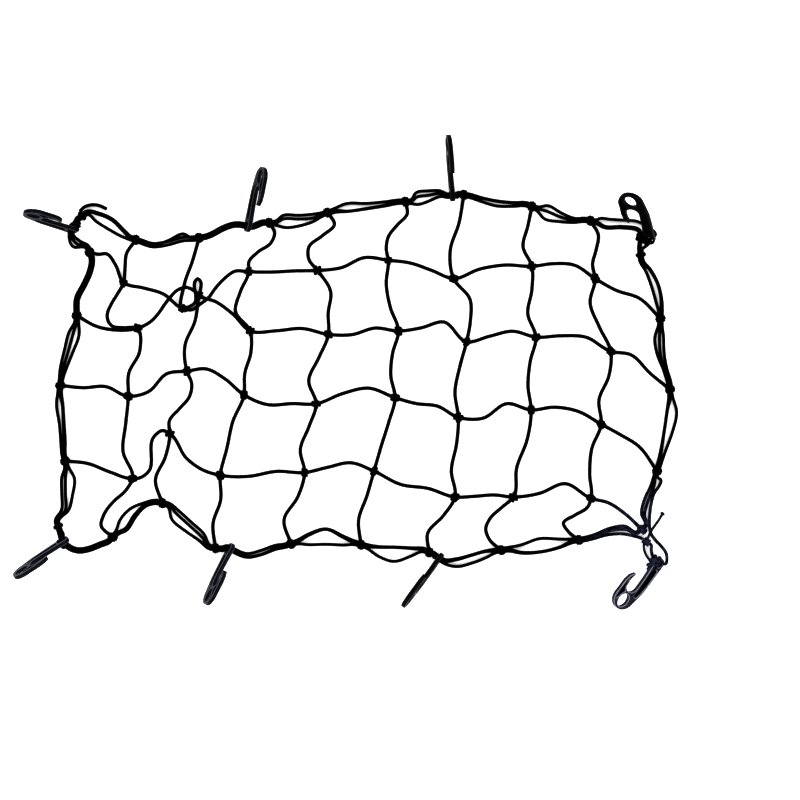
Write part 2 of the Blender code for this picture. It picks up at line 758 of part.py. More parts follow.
def build_net(net_group, cutters, workshop, cord):
    union_group = new_collection("net strands")
    tunnels = new_collection("net tunnels")

    def knot(row, index, z):
        x, y = KNOTS[row][index]
        return Vector((x, y, z))

    inner_z = CORD_RADIUS + KNOT_LIFT
    edge_z = CORD_RADIUS + EDGE_LIFT
    strands = []
    for r, stretches in enumerate(CROSS_LINES):
        row = "row_%d" % (r + 1)
        knots = [knot("left", r, edge_z)]
        knots += [knot(row, c, inner_z) for c in range(8)]
        knots += [knot("right", r, edge_z)]
        route = net_line("cross", r, knots, stretches, Vector((0, 1, 0)))
        strands.append(tube("cross_line_%d" % (r + 1), route, CORD_RADIUS, union_group))
    for c, stretches in enumerate(DOWN_LINES):
        knots = [knot("top", c, edge_z)]
        knots += [knot("row_%d" % (r + 1), c, inner_z) for r in range(4)]
        knots += [knot("bottom", c, edge_z)]
        route = net_line("down", c, knots, stretches, Vector((1, 0, 0)))
        strands.append(tube("down_line_%d" % (c + 1), route, CORD_RADIUS, union_group))

    number = 0
    for r in range(4):
        for c in range(8):
            number += 1
            centre = centred(knot("row_%d" % (r + 1), c, 0.0))
            knot_lump("knot_%d" % number, centre, KNOT_TURN * number, union_group)
    for i, row in enumerate(BORDER):
        if row[0] not in CORNER_TIES and not row[0].startswith("hook"):
            add_wrapped_knot(i, union_group, tunnels)

    net = strands[0]
    union_group.objects.unlink(net)
    workshop.objects.link(net)
    boolean(net, "UNION", union_group)
    boolean(net, "DIFFERENCE", tunnels)
    triangulated(net)
    finish(net, "net", cord, net_group)
    store_cutters((union_group, tunnels), cutters)


def add_wrapped_knot(index, union_group, tunnels):
    """A knot wrapped round the border strands at a station, with their way through it."""
    station = BORDER[index][0]
    middle = station_point(station)
    ahead = station_direction(index)
    count = len(TIE_RIDGES)
    steps = [2.0 * k / (count - 1) - 1.0 for k in range(count)]
    reach = CORNER_REACH if station in CORNER_TIES else TIE_REACH
    path = [middle + ahead * reach * step for step in steps]
    lump = tube("tie " + station, path, TIE_RADIUS, union_group, TIE_RIDGES, resolution=2)
    flatten_underside(lump)
    bore = [middle - ahead * BUNDLE_REACH, middle + ahead * BUNDLE_REACH]
    tube("bore " + station, bore, TIE_BORE, tunnels, resolution=2)
    return lump


def store_cutters(groups, cutters):
    """Puts the pieces that were joined or cut away with the other cutters."""
    for group in groups:
        for solid in list(group.objects):
            mark_cutter(solid)
            group.objects.unlink(solid)
            cutters.objects.link(solid)
        bpy.data.collections.remove(group)


def build_border(net_group, cutters, workshop, cord):
    for name, route in border_routes().items():
        strand = tube("strand", route, CORD_RADIUS, workshop)
        flatten_underside(strand)
        triangulated(strand)
        finish(strand, "border_cord_" + name, cord, net_group)

    stations = [row[0] for row in BORDER]
    for name in CORNER_TIES:
        union_group = new_collection("tie parts")
        tunnels = new_collection("tie tunnels")
        tie = add_wrapped_knot(stations.index(name), union_group, tunnels)
        complete_tie(tie, name, union_group, tunnels, net_group, cutters, workshop, cord)

    union_group = new_collection("tie parts")
    tunnels = new_collection("tie tunnels")
    start, end = [centred(p) for p in LONE_TIE["points"]]
    path = [start.lerp(end, share) for share in SMALL_TIE_SHARES]
    tie = tube("tie", path, SMALL_TIE_RADIUS, union_group, TIE_RIDGES, resolution=2)
    flatten_underside(tie)
    tube("bore", [start, end], SMALL_TIE_BORE, tunnels, resolution=2)
    complete_tie(tie, LONE_TIE["name"], union_group, tunnels, net_group, cutters, workshop, cord)


def complete_tie(tie, name, union_group, tunnels, net_group, cutters, workshop, cord):
    """Adds a corner tie's free tail, if it has one, and opens its way for the strands."""
    union_group.objects.unlink(tie)
    workshop.objects.link(tie)
    if name in TAILS:
        tail = thinned(smooth([centred(p) for p in TAILS[name]]), LINE_SLACK)
        tube("tail", tail, CORD_RADIUS, union_group)
        boolean(tie, "UNION", union_group)
    boolean(tie, "DIFFERENCE", tunnels)
    triangulated(tie)
    finish(tie, name, cord, net_group)
    store_cutters((union_group, tunnels), cutters)


def build_hooks(net_group, cutters, plastic):
    pattern = build_hook_mesh(cutters)
    for i, hook in enumerate(HOOKS):
        piece = bpy.data.objects.new("hook_%d" % (i + 1), pattern.data)
        piece.matrix_world = Matrix.Translation(hook_centre(hook) * MM) @ hook_turn(hook)
        net_group.objects.link(piece)
    pattern.data.materials.append(plastic)
    bpy.data.objects.remove(pattern, do_unlink=True)


build()
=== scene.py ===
import math

import bmesh
import bpy
from mathutils import Matrix, Vector


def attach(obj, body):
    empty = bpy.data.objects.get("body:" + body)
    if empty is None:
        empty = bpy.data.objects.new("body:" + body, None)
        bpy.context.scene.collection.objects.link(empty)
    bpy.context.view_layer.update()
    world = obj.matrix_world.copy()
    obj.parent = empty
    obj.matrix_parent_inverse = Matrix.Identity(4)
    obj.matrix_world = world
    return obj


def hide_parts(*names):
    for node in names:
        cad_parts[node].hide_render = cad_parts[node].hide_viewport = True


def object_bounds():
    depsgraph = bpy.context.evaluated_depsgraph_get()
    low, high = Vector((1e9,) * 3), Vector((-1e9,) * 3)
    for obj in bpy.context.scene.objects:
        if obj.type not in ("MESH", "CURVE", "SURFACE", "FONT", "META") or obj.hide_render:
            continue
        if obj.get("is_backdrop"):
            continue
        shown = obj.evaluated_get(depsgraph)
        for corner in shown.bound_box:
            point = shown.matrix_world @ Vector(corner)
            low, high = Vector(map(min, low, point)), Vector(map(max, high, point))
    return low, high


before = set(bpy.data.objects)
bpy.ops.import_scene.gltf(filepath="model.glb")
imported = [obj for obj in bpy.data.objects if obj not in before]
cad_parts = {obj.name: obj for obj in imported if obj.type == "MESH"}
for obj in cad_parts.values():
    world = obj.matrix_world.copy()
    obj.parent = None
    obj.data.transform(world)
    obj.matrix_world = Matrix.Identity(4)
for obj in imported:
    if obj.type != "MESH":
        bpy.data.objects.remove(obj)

mm = 0.001
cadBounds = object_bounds()
scene = bpy.context.scene

# the layout of the net, in millimetres, is the same as in the part's own source, and the frame's
# origin lies at this point of it
middle = {"x": -1.0, "y": -1.5}

# radius is the real cord's; it is drawn a little fatter, because a thin dark line fades on white
cordSizes = {"radius": 2.25, "drawn": 2.7, "gap": 0.6, "ringSpacing": 2.2, "sides": 12,
             "stepsPerPoint": 8, "knotLift": 1.0, "edgeLift": 0.4, "lowest": 0.02}
cordSizes["over"] = 2 * cordSizes["radius"] + cordSizes["gap"]
cordSizes["lane"] = 0.5 * cordSizes["over"]

# the three border strands: heights and straight runs at a knot or an eye, how the inner and the
# outer one are spread apart, and how the top one drapes over them
bundle = {
    "height": 6.84, "low": 1.44, "top": 2.89, "reach": 7.2, "eyeReach": 4.6, "eyeSeat": 3.1,
    "shortSpread": 1.25, "bowShare": 0.25, "joinShare": 0.52, "drawn": 2.45,
    "spreadRounds": 10, "spreadStep": 0.6, "evenRounds": 2,
    "drapeRounds": 12, "drapeSink": 0.4, "drapeReach": 12,
}

knots = {
    "top": [(-314, 192), (-221, 195), (-118, 217), (-32, 232),
            (82, 248), (168, 258), (268, 241), (354, 220)],
    "row1": [(-332, 129), (-245, 91), (-148, 145), (-47, 147),
             (57, 162), (153, 135), (268, 153), (361, 135)],
    "row2": [(-312, 62), (-221, 110), (-146, 58), (-31, 53),
             (72, 58), (172, 42), (274, 49), (384, 28)],
    "row3": [(-325, -38), (-239, -1), (-155, -36), (-49, -49),
             (67, -40), (160, -69), (267, -58), (370, -79)],
    "row4": [(-319, -159), (-264, -93), (-190, -154), (-66, -150),
             (36, -148), (155, -186), (241, -186), (355, -188)],
    "bottom": [(-348, -245), (-275, -195), (-197, -261), (-86, -255),
               (17, -256), (117, -267), (223, -264), (337, -249)],
    "left": [(-382, 174), (-401, 81), (-425, -22), (-418, -133)],
    "right": [(457, 76), (471, -28), (452, -148), (430, -234)],
}

# how far each stretch of a cross line lies above the straight line between its knots
crossLines = [
    [(8, 20, 16), (5, 9), None, (-1, 0), (-1, 9), (5, 3), (8, 8), (10, 14), (2, 11)],
    [(-10, -9), None, (8, 7), (2, 7), (-2, 6), (10, 24), (6, 11), (9, 14), (14, 5)],
    [(2, 9), (-6, 9), (15, 12), (-10, -4), (12, 17), (1, 7), (-5, 13), (11, 12), (8, 14)],
    [(5, 1), (-12, -18, 24, 18), (-16, -13), (-3, 3), (7, 13), (-7, 0), (1, 3), (6, 21), (9, 8)],
]

# how far each stretch of a down line lies to the right
downLines = [
    [(-8, -4), None, (8, -4), (-6, -12), (-4, -17, -24, -23)],
    [(-2, -6), None, (0, -9), (12, 14, 4, -6), (-3, -14)],
    [(14, 15, 1, -6), (-13, -21), (4, -2), (-5, -2), (3, -6)],
    [(13, -2, -19, -16), (14, 5), (-8, -17), (-5, -12), (-3, -17)],
    [(8, -2, -10, -8), (-8, -7), (-7, -8), (1, 0), (-4, -10)],
    [(-2, -10), (18, 12), (-6, -9), (-1, -7), (-4, -15)],
    [(-6, -13), (-2, -10), (-6, -7), (3, -4), (-14, -27, -30, -21)],
    [(10, 5, -2), (-15, -9), (2, -8), (-9, -7), (-1, -16, -30, -19)],
]

# slack stretches that lie over a neighbour: x, y, z between their knots
slackStretches = {
    ("cross", 0, 2): [(-233, 89, 4), (-220, 97, 7.2), (-208, 106, 7.2), (-197, 121, 3.5),
                      (-184, 135, 2.25), (-168, 146, 2.25)],
    ("cross", 1, 1): [(-292, 72, 2.25), (-280, 85, 2.25), (-271, 98, 4.5), (-263, 108, 7.2),
                      (-253, 118, 7.2), (-240, 122, 7.2), (-228, 117, 7.2)],
    ("down", 0, 1): [(-342, 111, 2.25), (-351, 96, 2.25), (-356, 83, 2.25), (-355, 73, 3.5),
                     (-348, 65, 7), (-334, 63, 7.2)],
    ("down", 1, 1): [(-235, 94, 2.25), (-227, 100, 2.25), (-226, 111, 2.25), (-228, 123, 2.25),
                     (-227, 131, 2.25), (-223, 135, 2.25), (-219, 131, 2.25), (-219, 119, 2.25)],
}

# hooks, clockwise from the top left and counted from 0; paintedRimLight says how strongly a painted
# highlight is laid along the rims
hooks = [
    {"eye": (-408.5, 207), "heading": 163, "arm": -1, "roll": 72, "pitch": 29, "paintedRimLight": 0.32},
    {"eye": (-149, 212), "heading": 79, "arm": -1, "roll": 69, "pitch": 0, "paintedRimLight": 0.32},
    {"eye": (151, 257), "heading": 95, "arm": -1, "roll": 84, "pitch": 0, "paintedRimLight": 0.16},
    {"eye": (441, 193), "heading": 105, "arm": 1, "roll": -29, "pitch": 42, "paintedRimLight": 0.06},
    {"eye": (454, -283), "heading": 234, "arm": -1, "roll": 40, "pitch": 0, "paintedRimLight": 1.0},
    {"eye": (132, -276), "heading": 234, "arm": -1, "roll": 84, "pitch": 0, "paintedRimLight": 0.16},
    {"eye": (-175, -262), "heading": 243, "arm": 1, "roll": 72, "pitch": 0, "paintedRimLight": 0.45},
    {"eye": (-420, -251), "heading": 213, "arm": 1, "roll": 74, "pitch": 0, "paintedRimLight": 0.5},
]

cornerTies = {"cornerTie1": (-393, 227), "cornerTie2": (428, 170), "cornerTie4": (-428, -229)}
headings = {"cornerTie1": 35.5, "cornerTie2": 275, "bottom 2": 173, "cornerTie4": 108, "left 0": 112}

# the border, clockwise: station, then how far the inner, outer and top strand lie outside
border = [
    ("cornerTie1", (1, -2, -4), (14, 14, 6), (12, 12, 4)),
    ("top 0", (-11, -9, -3.5), (-6, -4, 1.5), (-8.5, -3, 6.5)),
    ("top 1", (-2, 3, 4.5), (3, 8, 9.5), (0.5, 5.5, 7)),
    ("hook 1", None, None, None),
    ("top 2", (-11, -12, -9), (7.5, 3.5, 1.5), (2, -2, -4)),
    ("top 3", (-2.5, -2.5, -2), (9.5, 5.5, 4), (-2, -2, -1)),
    ("top 4", (-6.5, -3.5, 1), (11.5, 11.5, 9.5), (4.5, 5, 5.5)),
    ("hook 2", None, None, None),
    ("top 5", (-5, -8, -4), (0.5, -0.5, 1.5), (-0.5, -1.2, 0.5)),
    ("top 6", (-13.5, -12, -8), (7, 1, -2), (-1.5, -5, -5)),
    ("top 7", (3, 17.5, 27), (10, 24, 36), (5, 20, 29.5)),
    ("cornerTie2", (0, 1.5, 1), (7.5, 12, 10), (6, 11, 8.5)),
    ("right 0", (-12, -11.5, -4.5), (1, -1.5, 0), (-5, -7, -3.5)),
    ("right 1", (0.5, 1, 0.5), (15, 13.5, 7.5), (1, 1.3, 1.5)),
    ("right 2", (-3.5, -7.5, -6.5), (9, 4.5, 8), (1, -2, -2)),
    ("right 3", (-9, -9.5, -4), (-1, -2.5, 1.5), (-4, -6, -1)),
    ("bottom 7", (-5, -9.5, -3.5), (7.5, 10.5, 8.5), (6.5, 9.8, 7)),
    ("bottom 6", (-2, 1.5, 4), (8, 13.5, 15.5), (-1, 2.2, 5.5)),
    ("hook 5", None, None, None),
    ("bottom 5", (-3.5, -2, 0), (8.5, 19.5, 13.5), (-2.5, -1.4, 1)),
    ("bottom 4", (-12, -23, -15), (1, 0, 1), (-10, -22, -13)),
    ("bottom 3", (0, 6, 9), (6, 12.5, 14.5), (4.5, 11.8, 13.5)),
    ("hook 6", None, None, None),
    ("bottom 2", (-5, -6, -7), (7, 9.5, 9.5), (0.5, -0.5, -1.5)),
    ("bottom 1", (-15.5, -20, -14.5), (-10, -5.5, 3.5), (-12, -9, 0)),
    ("bottom 0", (6.5, 12, 12.5), (11.5, 17, 17.5), (9, 14.5, 15)),
    ("hook 7", None, None, None),
    ("cornerTie4", (-12.5, -16, -16.5), (-2.5, 0, 2.5), (-8, -5.5, -3)),
    ("left 3", (-2, -2, -2), (4.5, 5, 7.5), (0, -1, -1.2)),
    ("left 2", (-3, -7, -10), (6, 6, 5.5), (1.5, 0, -1)),
    ("left 1", (2, -4.5, -9), (7, 0.5, -4), (4.5, -2, -6.5)),
    ("left 0", (1,), (14.5,), (7,)),
    ("hook 0", None, None, None),
]
stations = [row[0] for row in border]

# the outer strand alone threads the two hooks that lie flat; "into 3" and "out of 3" stand for
# the two ends of hook 3's eye
outerDetours = {
    "top 7": [
        [(368, 223.5, 2.25), (382, 222.3, 2.25), (396, 221.3, 2.25), (410, 220.6, 2.25),
         (423, 219, 2.25), (432, 214.8, 2.25), (440.5, 209, 2.25), (447.5, 204.5, 2.25),
         (450, 199.3, 2.25), "into 3"],
        ["out of 3", (436.3, 183.3, 12.3), (432.2, 180.3, 9.3)],
    ],
    "right 2": [
        [(458, -161.5, 2.25), (455.5, -169, 2.25), (448, -180, 2.25), (443, -198, 2.25),
         (441, -216, 2.25), (441, -230, 2.25), (443.5, -240.5, 2.25), (449.5, -249, 2.25),
         (457.5, -257.5, 3.2), (464, -266, 6.5), (466.3, -275, 10.5), (464, -284.5, 13.8),
         "out of 4"],
        ["into 4", (446, -273.5, 2.25), (443.5, -264.5, 2.8), (442.5, -255.5, 5.2)],
        [(430.5, -247.5, 5.2), (424, -245, 3.4), (416, -243, 2.25), (404, -240.5, 2.25),
         (390, -240.3, 2.25), (376, -242.3, 2.25), (358, -247.5, 2.25)],
    ],
}
detourEnds = {"top 7": "cornerTie2", "right 2": "bottom 7"}
loneTie = [(442.5, -255.5, 5.2), (430.5, -247.5, 5.2)]
# the loose end inside the loop at that tie, down to the lashing of the hook
loopStrand = [(436.5, -250.5, 7.5), (433, -254.5, 5.5), (432.6, -261, 2.6), (435.5, -270.5, 2.4),
              (441.5, -279.5, 3.5), (445, -286, 5.5)]

tails = {
    "cornerTie1": [(-396, 233.5, 8), (-391, 239.2, 6), (-383, 242.8, 3), (-370, 243, 2.25),
                   (-358, 238, 2.25)],
    "cornerTie3": [(438, -248, 7), (440.5, -241, 7.4), (444.5, -234, 7.4), (449, -227.5, 4),
                   (453.5, -221.5, 2.25), (460, -210.5, 2.25)],
}


def centred(point):
    return Vector((point[0] - middle["x"], point[1] - middle["y"], point[2]))


def level(vector):
    return Vector((vector.x, vector.y, 0.0)).normalized()


def outward(direction):
    # left of the way of travel is outside the net
    return Vector((-direction.y, direction.x, 0.0)).normalized()


def smoothRoute(points, first=None, last=None):
    # a Hermite curve through the points, with a given first and last direction
    steps = cordSizes["stepsPerPoint"]
    count = len(points)
    tangents = []
    for i, here in enumerate(points):
        before = points[max(i - 1, 0)]
        after = points[min(i + 1, count - 1)]
        gapBefore = max((here - before).length, 1e-6)
        gapAfter = max((after - here).length, 1e-6)
        slope = (here - before) / gapBefore * gapAfter + (after - here) / gapAfter * gapBefore
        tangents.append(slope / (gapBefore + gapAfter))
    tangents[0] = first or (points[1] - points[0]).normalized()
    tangents[-1] = last or (points[-1] - points[-2]).normalized()
    route = []
    for i in range(count - 1):
        start, end = points[i], points[i + 1]
        span = (end - start).length
        for k in range(steps):
            t = k / steps
            place = (
                start * (2 * t ** 3 - 3 * t ** 2 + 1)
                + tangents[i] * span * (t ** 3 - 2 * t ** 2 + t)
                + end * (3 * t ** 2 - 2 * t ** 3)
                + tangents[i + 1] * span * (t ** 3 - t ** 2)
            )
            place.z = max(place.z, cordSizes["radius"])
            route.append(place)
    route.append(points[-1].copy())
    return route


def bowedPoints(start, end, bows, sideways):
    points = []
    for i, bow in enumerate(bows):
        point = start.lerp(end, (i + 1) / (len(bows) + 1)) + sideways * bow
        point.z = cordSizes["radius"]
        points.append(point)
    return points


def laidRoute(points):
    return smoothRoute([centred(point) for point in points])


def netLine(kind, index, line, stretches, sideways):
    points = []
    for i, bows in enumerate(stretches):
        points.append(line[i])
        if bows is None:
            points.extend(Vector(p) for p in slackStretches[(kind, index, i)])
        else:
            points.extend(bowedPoints(line[i], line[i + 1], bows, sideways))
    points.append(line[-1])
    return laidRoute(points)


# hooks: sizes in mm, u along the shank from its eye end, v across it from its back;
# mouth and bend are a centre and a radius, hole is a centre and a radius each way
hookShape = {
    "thickness": 7.0, "shankWidth": 17.2, "edge": 1.1, "edgeSteps": 3, "weld": 0.01, "sharpAbove": 38,
    "mouth": (58.0, 25.5, 10.5), "bend": (78.5, 24.5, 19.5), "hole": (83.0, 24.5, 10.8, 9.0),
    "holeSteps": 36, "eyeRadius": 6.0, "eyeSteps": 32,
    "web": 3.0, "webEdge": 0.1, "webOverlap": 1.0, "cornerShare": 0.22, "cornerSteps": 5,
}


def hookTurn(hook):
    roll = hook["roll"] if hook["arm"] == 1 else 180 - hook["roll"]
    return (Matrix.Rotation(math.radians(hook["heading"]), 4, "Z")
            @ Matrix.Rotation(-math.radians(hook["pitch"]), 4, "Y")
            @ Matrix.Rotation(math.radians(roll), 4, "X"))


def arcPoints(centreU, centreV, radius, start, end, steps):
    points = []
    for i in range(steps + 1):
        angle = math.radians(start + (end - start) * i / steps)
        points.append((centreU + radius * math.cos(angle), centreV + radius * math.sin(angle)))
    return points


def hookOutline(fine):
    eye = 0.5 * hookShape["shankWidth"]
    points = [(40.0, 15.0)]
    points += arcPoints(*hookShape["mouth"], 270, 450, 28 if fine else 7)
    points += [(49.0, 35.6), (41.5, 33.4), (40.4, 35.2), (47.0, 41.0), (57.0, 43.6)]
    points += arcPoints(*hookShape["bend"], 102, -72, 30 if fine else 7)
    points += [(72.0, 3.4), (58.0, 0.6), (40.0, 0.0)]
    points += arcPoints(eye, eye, eye, 270, 90, 24 if fine else 5)
    return points


def fromEye(points):
    eye = 0.5 * hookShape["shankWidth"]
    return [(u - eye, v - eye) for u, v in points]


def hookCentre(hook):
    # the height where the hook's lowest edge meets the floor
    turn = hookTurn(hook)
    half = 0.5 * hookShape["thickness"]
    corners = [Vector((u, v, w)) for u, v in fromEye(hookOutline(False)) for w in (-half, half)]
    lowest = min((turn @ corner).z for corner in corners)
    return centred((hook["eye"][0], hook["eye"][1], -lowest))


def hookAxis(hook):
    return (hookTurn(hook) @ Vector((0.0, 0.0, 1.0, 0.0))).to_3d()


# routes of the border's strands
def stationPoint(station):
    if station in cornerTies:
        x, y = cornerTies[station]
        return centred((x, y, bundle["height"]))
    row, index = station.split()
    if row == "hook":
        return hookCentre(hooks[int(index)])
    x, y = knots[row][int(index)]
    return centred((x, y, bundle["height"]))


def stationDirection(index):
    station = border[index][0]
    here = stationPoint(station)
    cameFrom = stationPoint(border[index - 1][0])
    goesTo = stationPoint(border[(index + 1) % len(border)][0])
    if station.startswith("hook"):
        axis = hookAxis(hooks[int(station.split()[1])])
        return axis if axis.dot(goesTo - cameFrom) > 0 else -axis
    if station in headings:
        heading = math.radians(headings[station])
        return Vector((math.cos(heading), math.sin(heading), 0.0))
    before = border[index - 1][1]
    after = border[index][1]
    share = bundle["bowShare"]
    if before:
        cameFrom = cameFrom.lerp(here, 1 - share) + outward(here - cameFrom) * before[-1]
    if after:
        goesTo = here.lerp(goesTo, share) + outward(goesTo - here) * after[0]
    return (level(here - cameFrom) + level(goesTo - here)).normalized()


def stationPass(index, lane, rise):
    station = border[index][0]
    ahead = stationDirection(index)
    centre = stationPoint(station) + outward(ahead) * lane + Vector((0, 0, rise))
    reach = bundle["eyeReach"] if station.startswith("hook") else bundle["reach"]
    return centre - ahead * reach, centre + ahead * reach, ahead


def detourPoint(item):
    if isinstance(item, str):
        hook = hooks[int(item.split()[-1])]
        axis = hookAxis(hook)
        axis = axis if axis.z > 0 else -axis
        away = 1 if item.startswith("out") else -1
        back = (hookTurn(hook) @ Vector((-1.0, 0.0, 0.0, 0.0))).to_3d()
        return hookCentre(hook) + back * bundle["eyeSeat"] + axis * away * bundle["eyeReach"]
    return centred(item)


def detourRoute(detour, leave, first, arrive, last):
    legs = [[detourPoint(item) for item in leg] for leg in detour]
    legs[0].insert(0, leave)
    legs[-1].append(arrive)
    route = []
    for k, leg in enumerate(legs):
        start = (leg[0] - legs[k - 1][-1]).normalized() if k > 0 else first
        end = (legs[k + 1][0] - leg[-1]).normalized() if k + 1 < len(legs) else last
        route += smoothRoute(leg, start, end)
    return route


def strandStretches(column, lane, rise):
    stretches = {}
    stopAt = None
    for i, row in enumerate(border):
        if stopAt and row[0] != stopAt:
            continue
        stopAt = None
        nextIndex = (i + 1) % len(border)
        detour = outerDetours.get(row[0]) if column == 2 else None
        if detour:
            stopAt = detourEnds[row[0]]
            nextIndex = stations.index(stopAt)
        _, leave, first = stationPass(i, lane, rise)
        arrive, _, last = stationPass(nextIndex, lane, rise)
        if detour:
            stretches[i] = detourRoute(detour, leave, first, arrive, last)
            continue
        here = stationPoint(row[0])
        there = stationPoint(border[nextIndex][0])
        points = [leave]
        if row[column]:
            points += bowedPoints(here, there, row[column], outward(there - here))
        else:
            half = leave.lerp(arrive, 0.5)
            side = (half - here).dot(outward(there - here))
            points.append(half + outward(there - here) * (bundle["shortSpread"] * lane - side))
        points.append(arrive)
        stretches[i] = smoothRoute(points, first, last)
    return stretches


def nearestOn(route, point):
    best = None
    for start, end in zip(route, route[1:]):
        run = end - start
        along = max(0.0, min(1.0, (point - start).dot(run) / max(run.length_squared, 1e-9)))
        place = start + run * along
        if best is None or (point - place).length_squared < (point - best).length_squared:
            best = place
    return best


def spreadApart(inner, outer):
    # strands that would run into each other are moved apart, and the moved points evened out
    for _ in range(bundle["spreadRounds"]):
        for mine, other in ((inner, outer), (outer, inner)):
            for point in mine[1:-1]:
                away = point - nearestOn(other, point)
                if away.length < cordSizes["over"]:
                    point += level(away) * bundle["spreadStep"] * (cordSizes["over"] - away.length)
    for route in (inner, outer):
        for _ in range(bundle["evenRounds"]):
            for k in range(1, len(route) - 1):
                route[k] = route[k] * 0.5 + (route[k - 1] + route[k + 1]) * 0.25


def heightOver(point, route):
    best = cordSizes["radius"]
    over = cordSizes["over"] - bundle["drapeSink"]
    near = bundle["drapeReach"]
    for start, end in zip(route, route[1:]):
        if abs(start.x - point.x) > near or abs(start.y - point.y) > near:
            continue
        run = Vector((end.x - start.x, end.y - start.y))
        offset = Vector((point.x - start.x, point.y - start.y))
        along = max(0.0, min(1.0, offset.dot(run) / max(run.length_squared, 1e-9)))
        gap = (offset - run * along).length
        if gap < over:
            below = start.z + (end.z - start.z) * along
            best = max(best, below + math.sqrt(over ** 2 - gap ** 2))
    return best


def laidOn(route, below):
    # the top strand drapes over the two below it
    needs = [max(heightOver(point, strand) for strand in below) for point in route]
    for i in range(1, len(route) - 1):
        route[i].z = needs[i]
    for _ in range(bundle["drapeRounds"]):
        for i in range(1, len(route) - 1):
            even = 0.25 * (route[i - 1].z + 2 * route[i].z + route[i + 1].z)
            route[i].z = max(needs[i], even)
    return route


def joinedStrand(stretches, lane, rise):
    # one run round the whole border, whose two ends meet inside the first corner tie
    arrive, leave, _ = stationPass(0, lane, rise)
    route = [arrive.lerp(leave, bundle["joinShare"])]
    for stretch in stretches.values():
        route += stretch
    route.append(arrive.lerp(leave, 1 - bundle["joinShare"]))
    return route


def borderRoutes():
    low = -bundle["low"]
    lane = cordSizes["lane"]
    inner = strandStretches(1, -lane, low)
    outer = strandStretches(2, lane, low)
    for i, stretch in inner.items():
        if i in outer and border[i][0] not in outerDetours:
            spreadApart(stretch, outer[i])
    routes = {"inner": joinedStrand(inner, -lane, low), "outer": joinedStrand(outer, lane, low)}
    top = {}
    for i, stretch in strandStretches(3, 0.0, bundle["top"]).items():
        top[i] = laidOn(stretch, (routes["inner"], routes["outer"]))
    routes["top"] = joinedStrand(top, 0.0, bundle["top"])
    return routes


# materials
def linear(hexColour):
    channels = [int(hexColour[i:i + 2], 16) / 255 for i in (1, 3, 5)]
    levels = [c / 12.92 if c <= 0.04045 else ((c + 0.055) / 1.055) ** 2.4 for c in channels]
    return (*levels, 1.0)


def addNode(tree, kind, settings=None, inputs=None):
    node = tree.nodes.new(kind)
    for key, value in (settings or {}).items():
        setattr(node, key, value)
    for key, value in (inputs or {}).items():
        if isinstance(value, bpy.types.NodeSocket):
            tree.links.new(value, node.inputs[key])
        else:
            node.inputs[key].default_value = value
    return node


def emptyMaterial(name):
    material = bpy.data.materials.new(name)
    material.use_nodes = True
    material.node_tree.nodes.clear()
    return material, material.node_tree


# carriers are the yarns of the braid, fewer and broader than real ones so that they show, their crowns
# given a painted highlight; each noise is its count in a metre, so fuzz, patches and the painted
# sheen's streaks are about 1.1, 70 and 6 mm across, with its detail and roughness
cordLook = {
    "black": "#020203", "blueBlack": "#040509", "paintedHighlight": "#080a10", "paintedHighlightShare": 0.55,
    "carriers": 8, "turnLength": 7.5, "relief": 0.22, "bump": 0.55,
    "noise": {"fuzz": (900.0, 3.0, 0.6), "patches": (14.0, 2.0, 0.5), "sheenStreaks": (160.0, 2.0, 0.5)},
    "roughness": 0.62, "specular": 0.015,
    "sheen": 0.008, "sheenRoughness": 0.4, "sheenTint": "#8fa0c8",
    "paintedSheen": "#50546f", "paintedSheenAt": (0.436, -0.256, 0.0), "paintedSheenFrom": 0.02, "paintedSheenTo": 0.115,
    "sheenStreakFrom": 0.42, "sheenStreakTo": 0.62, "leastSheen": 0.1, "mostSheen": 0.9,
}


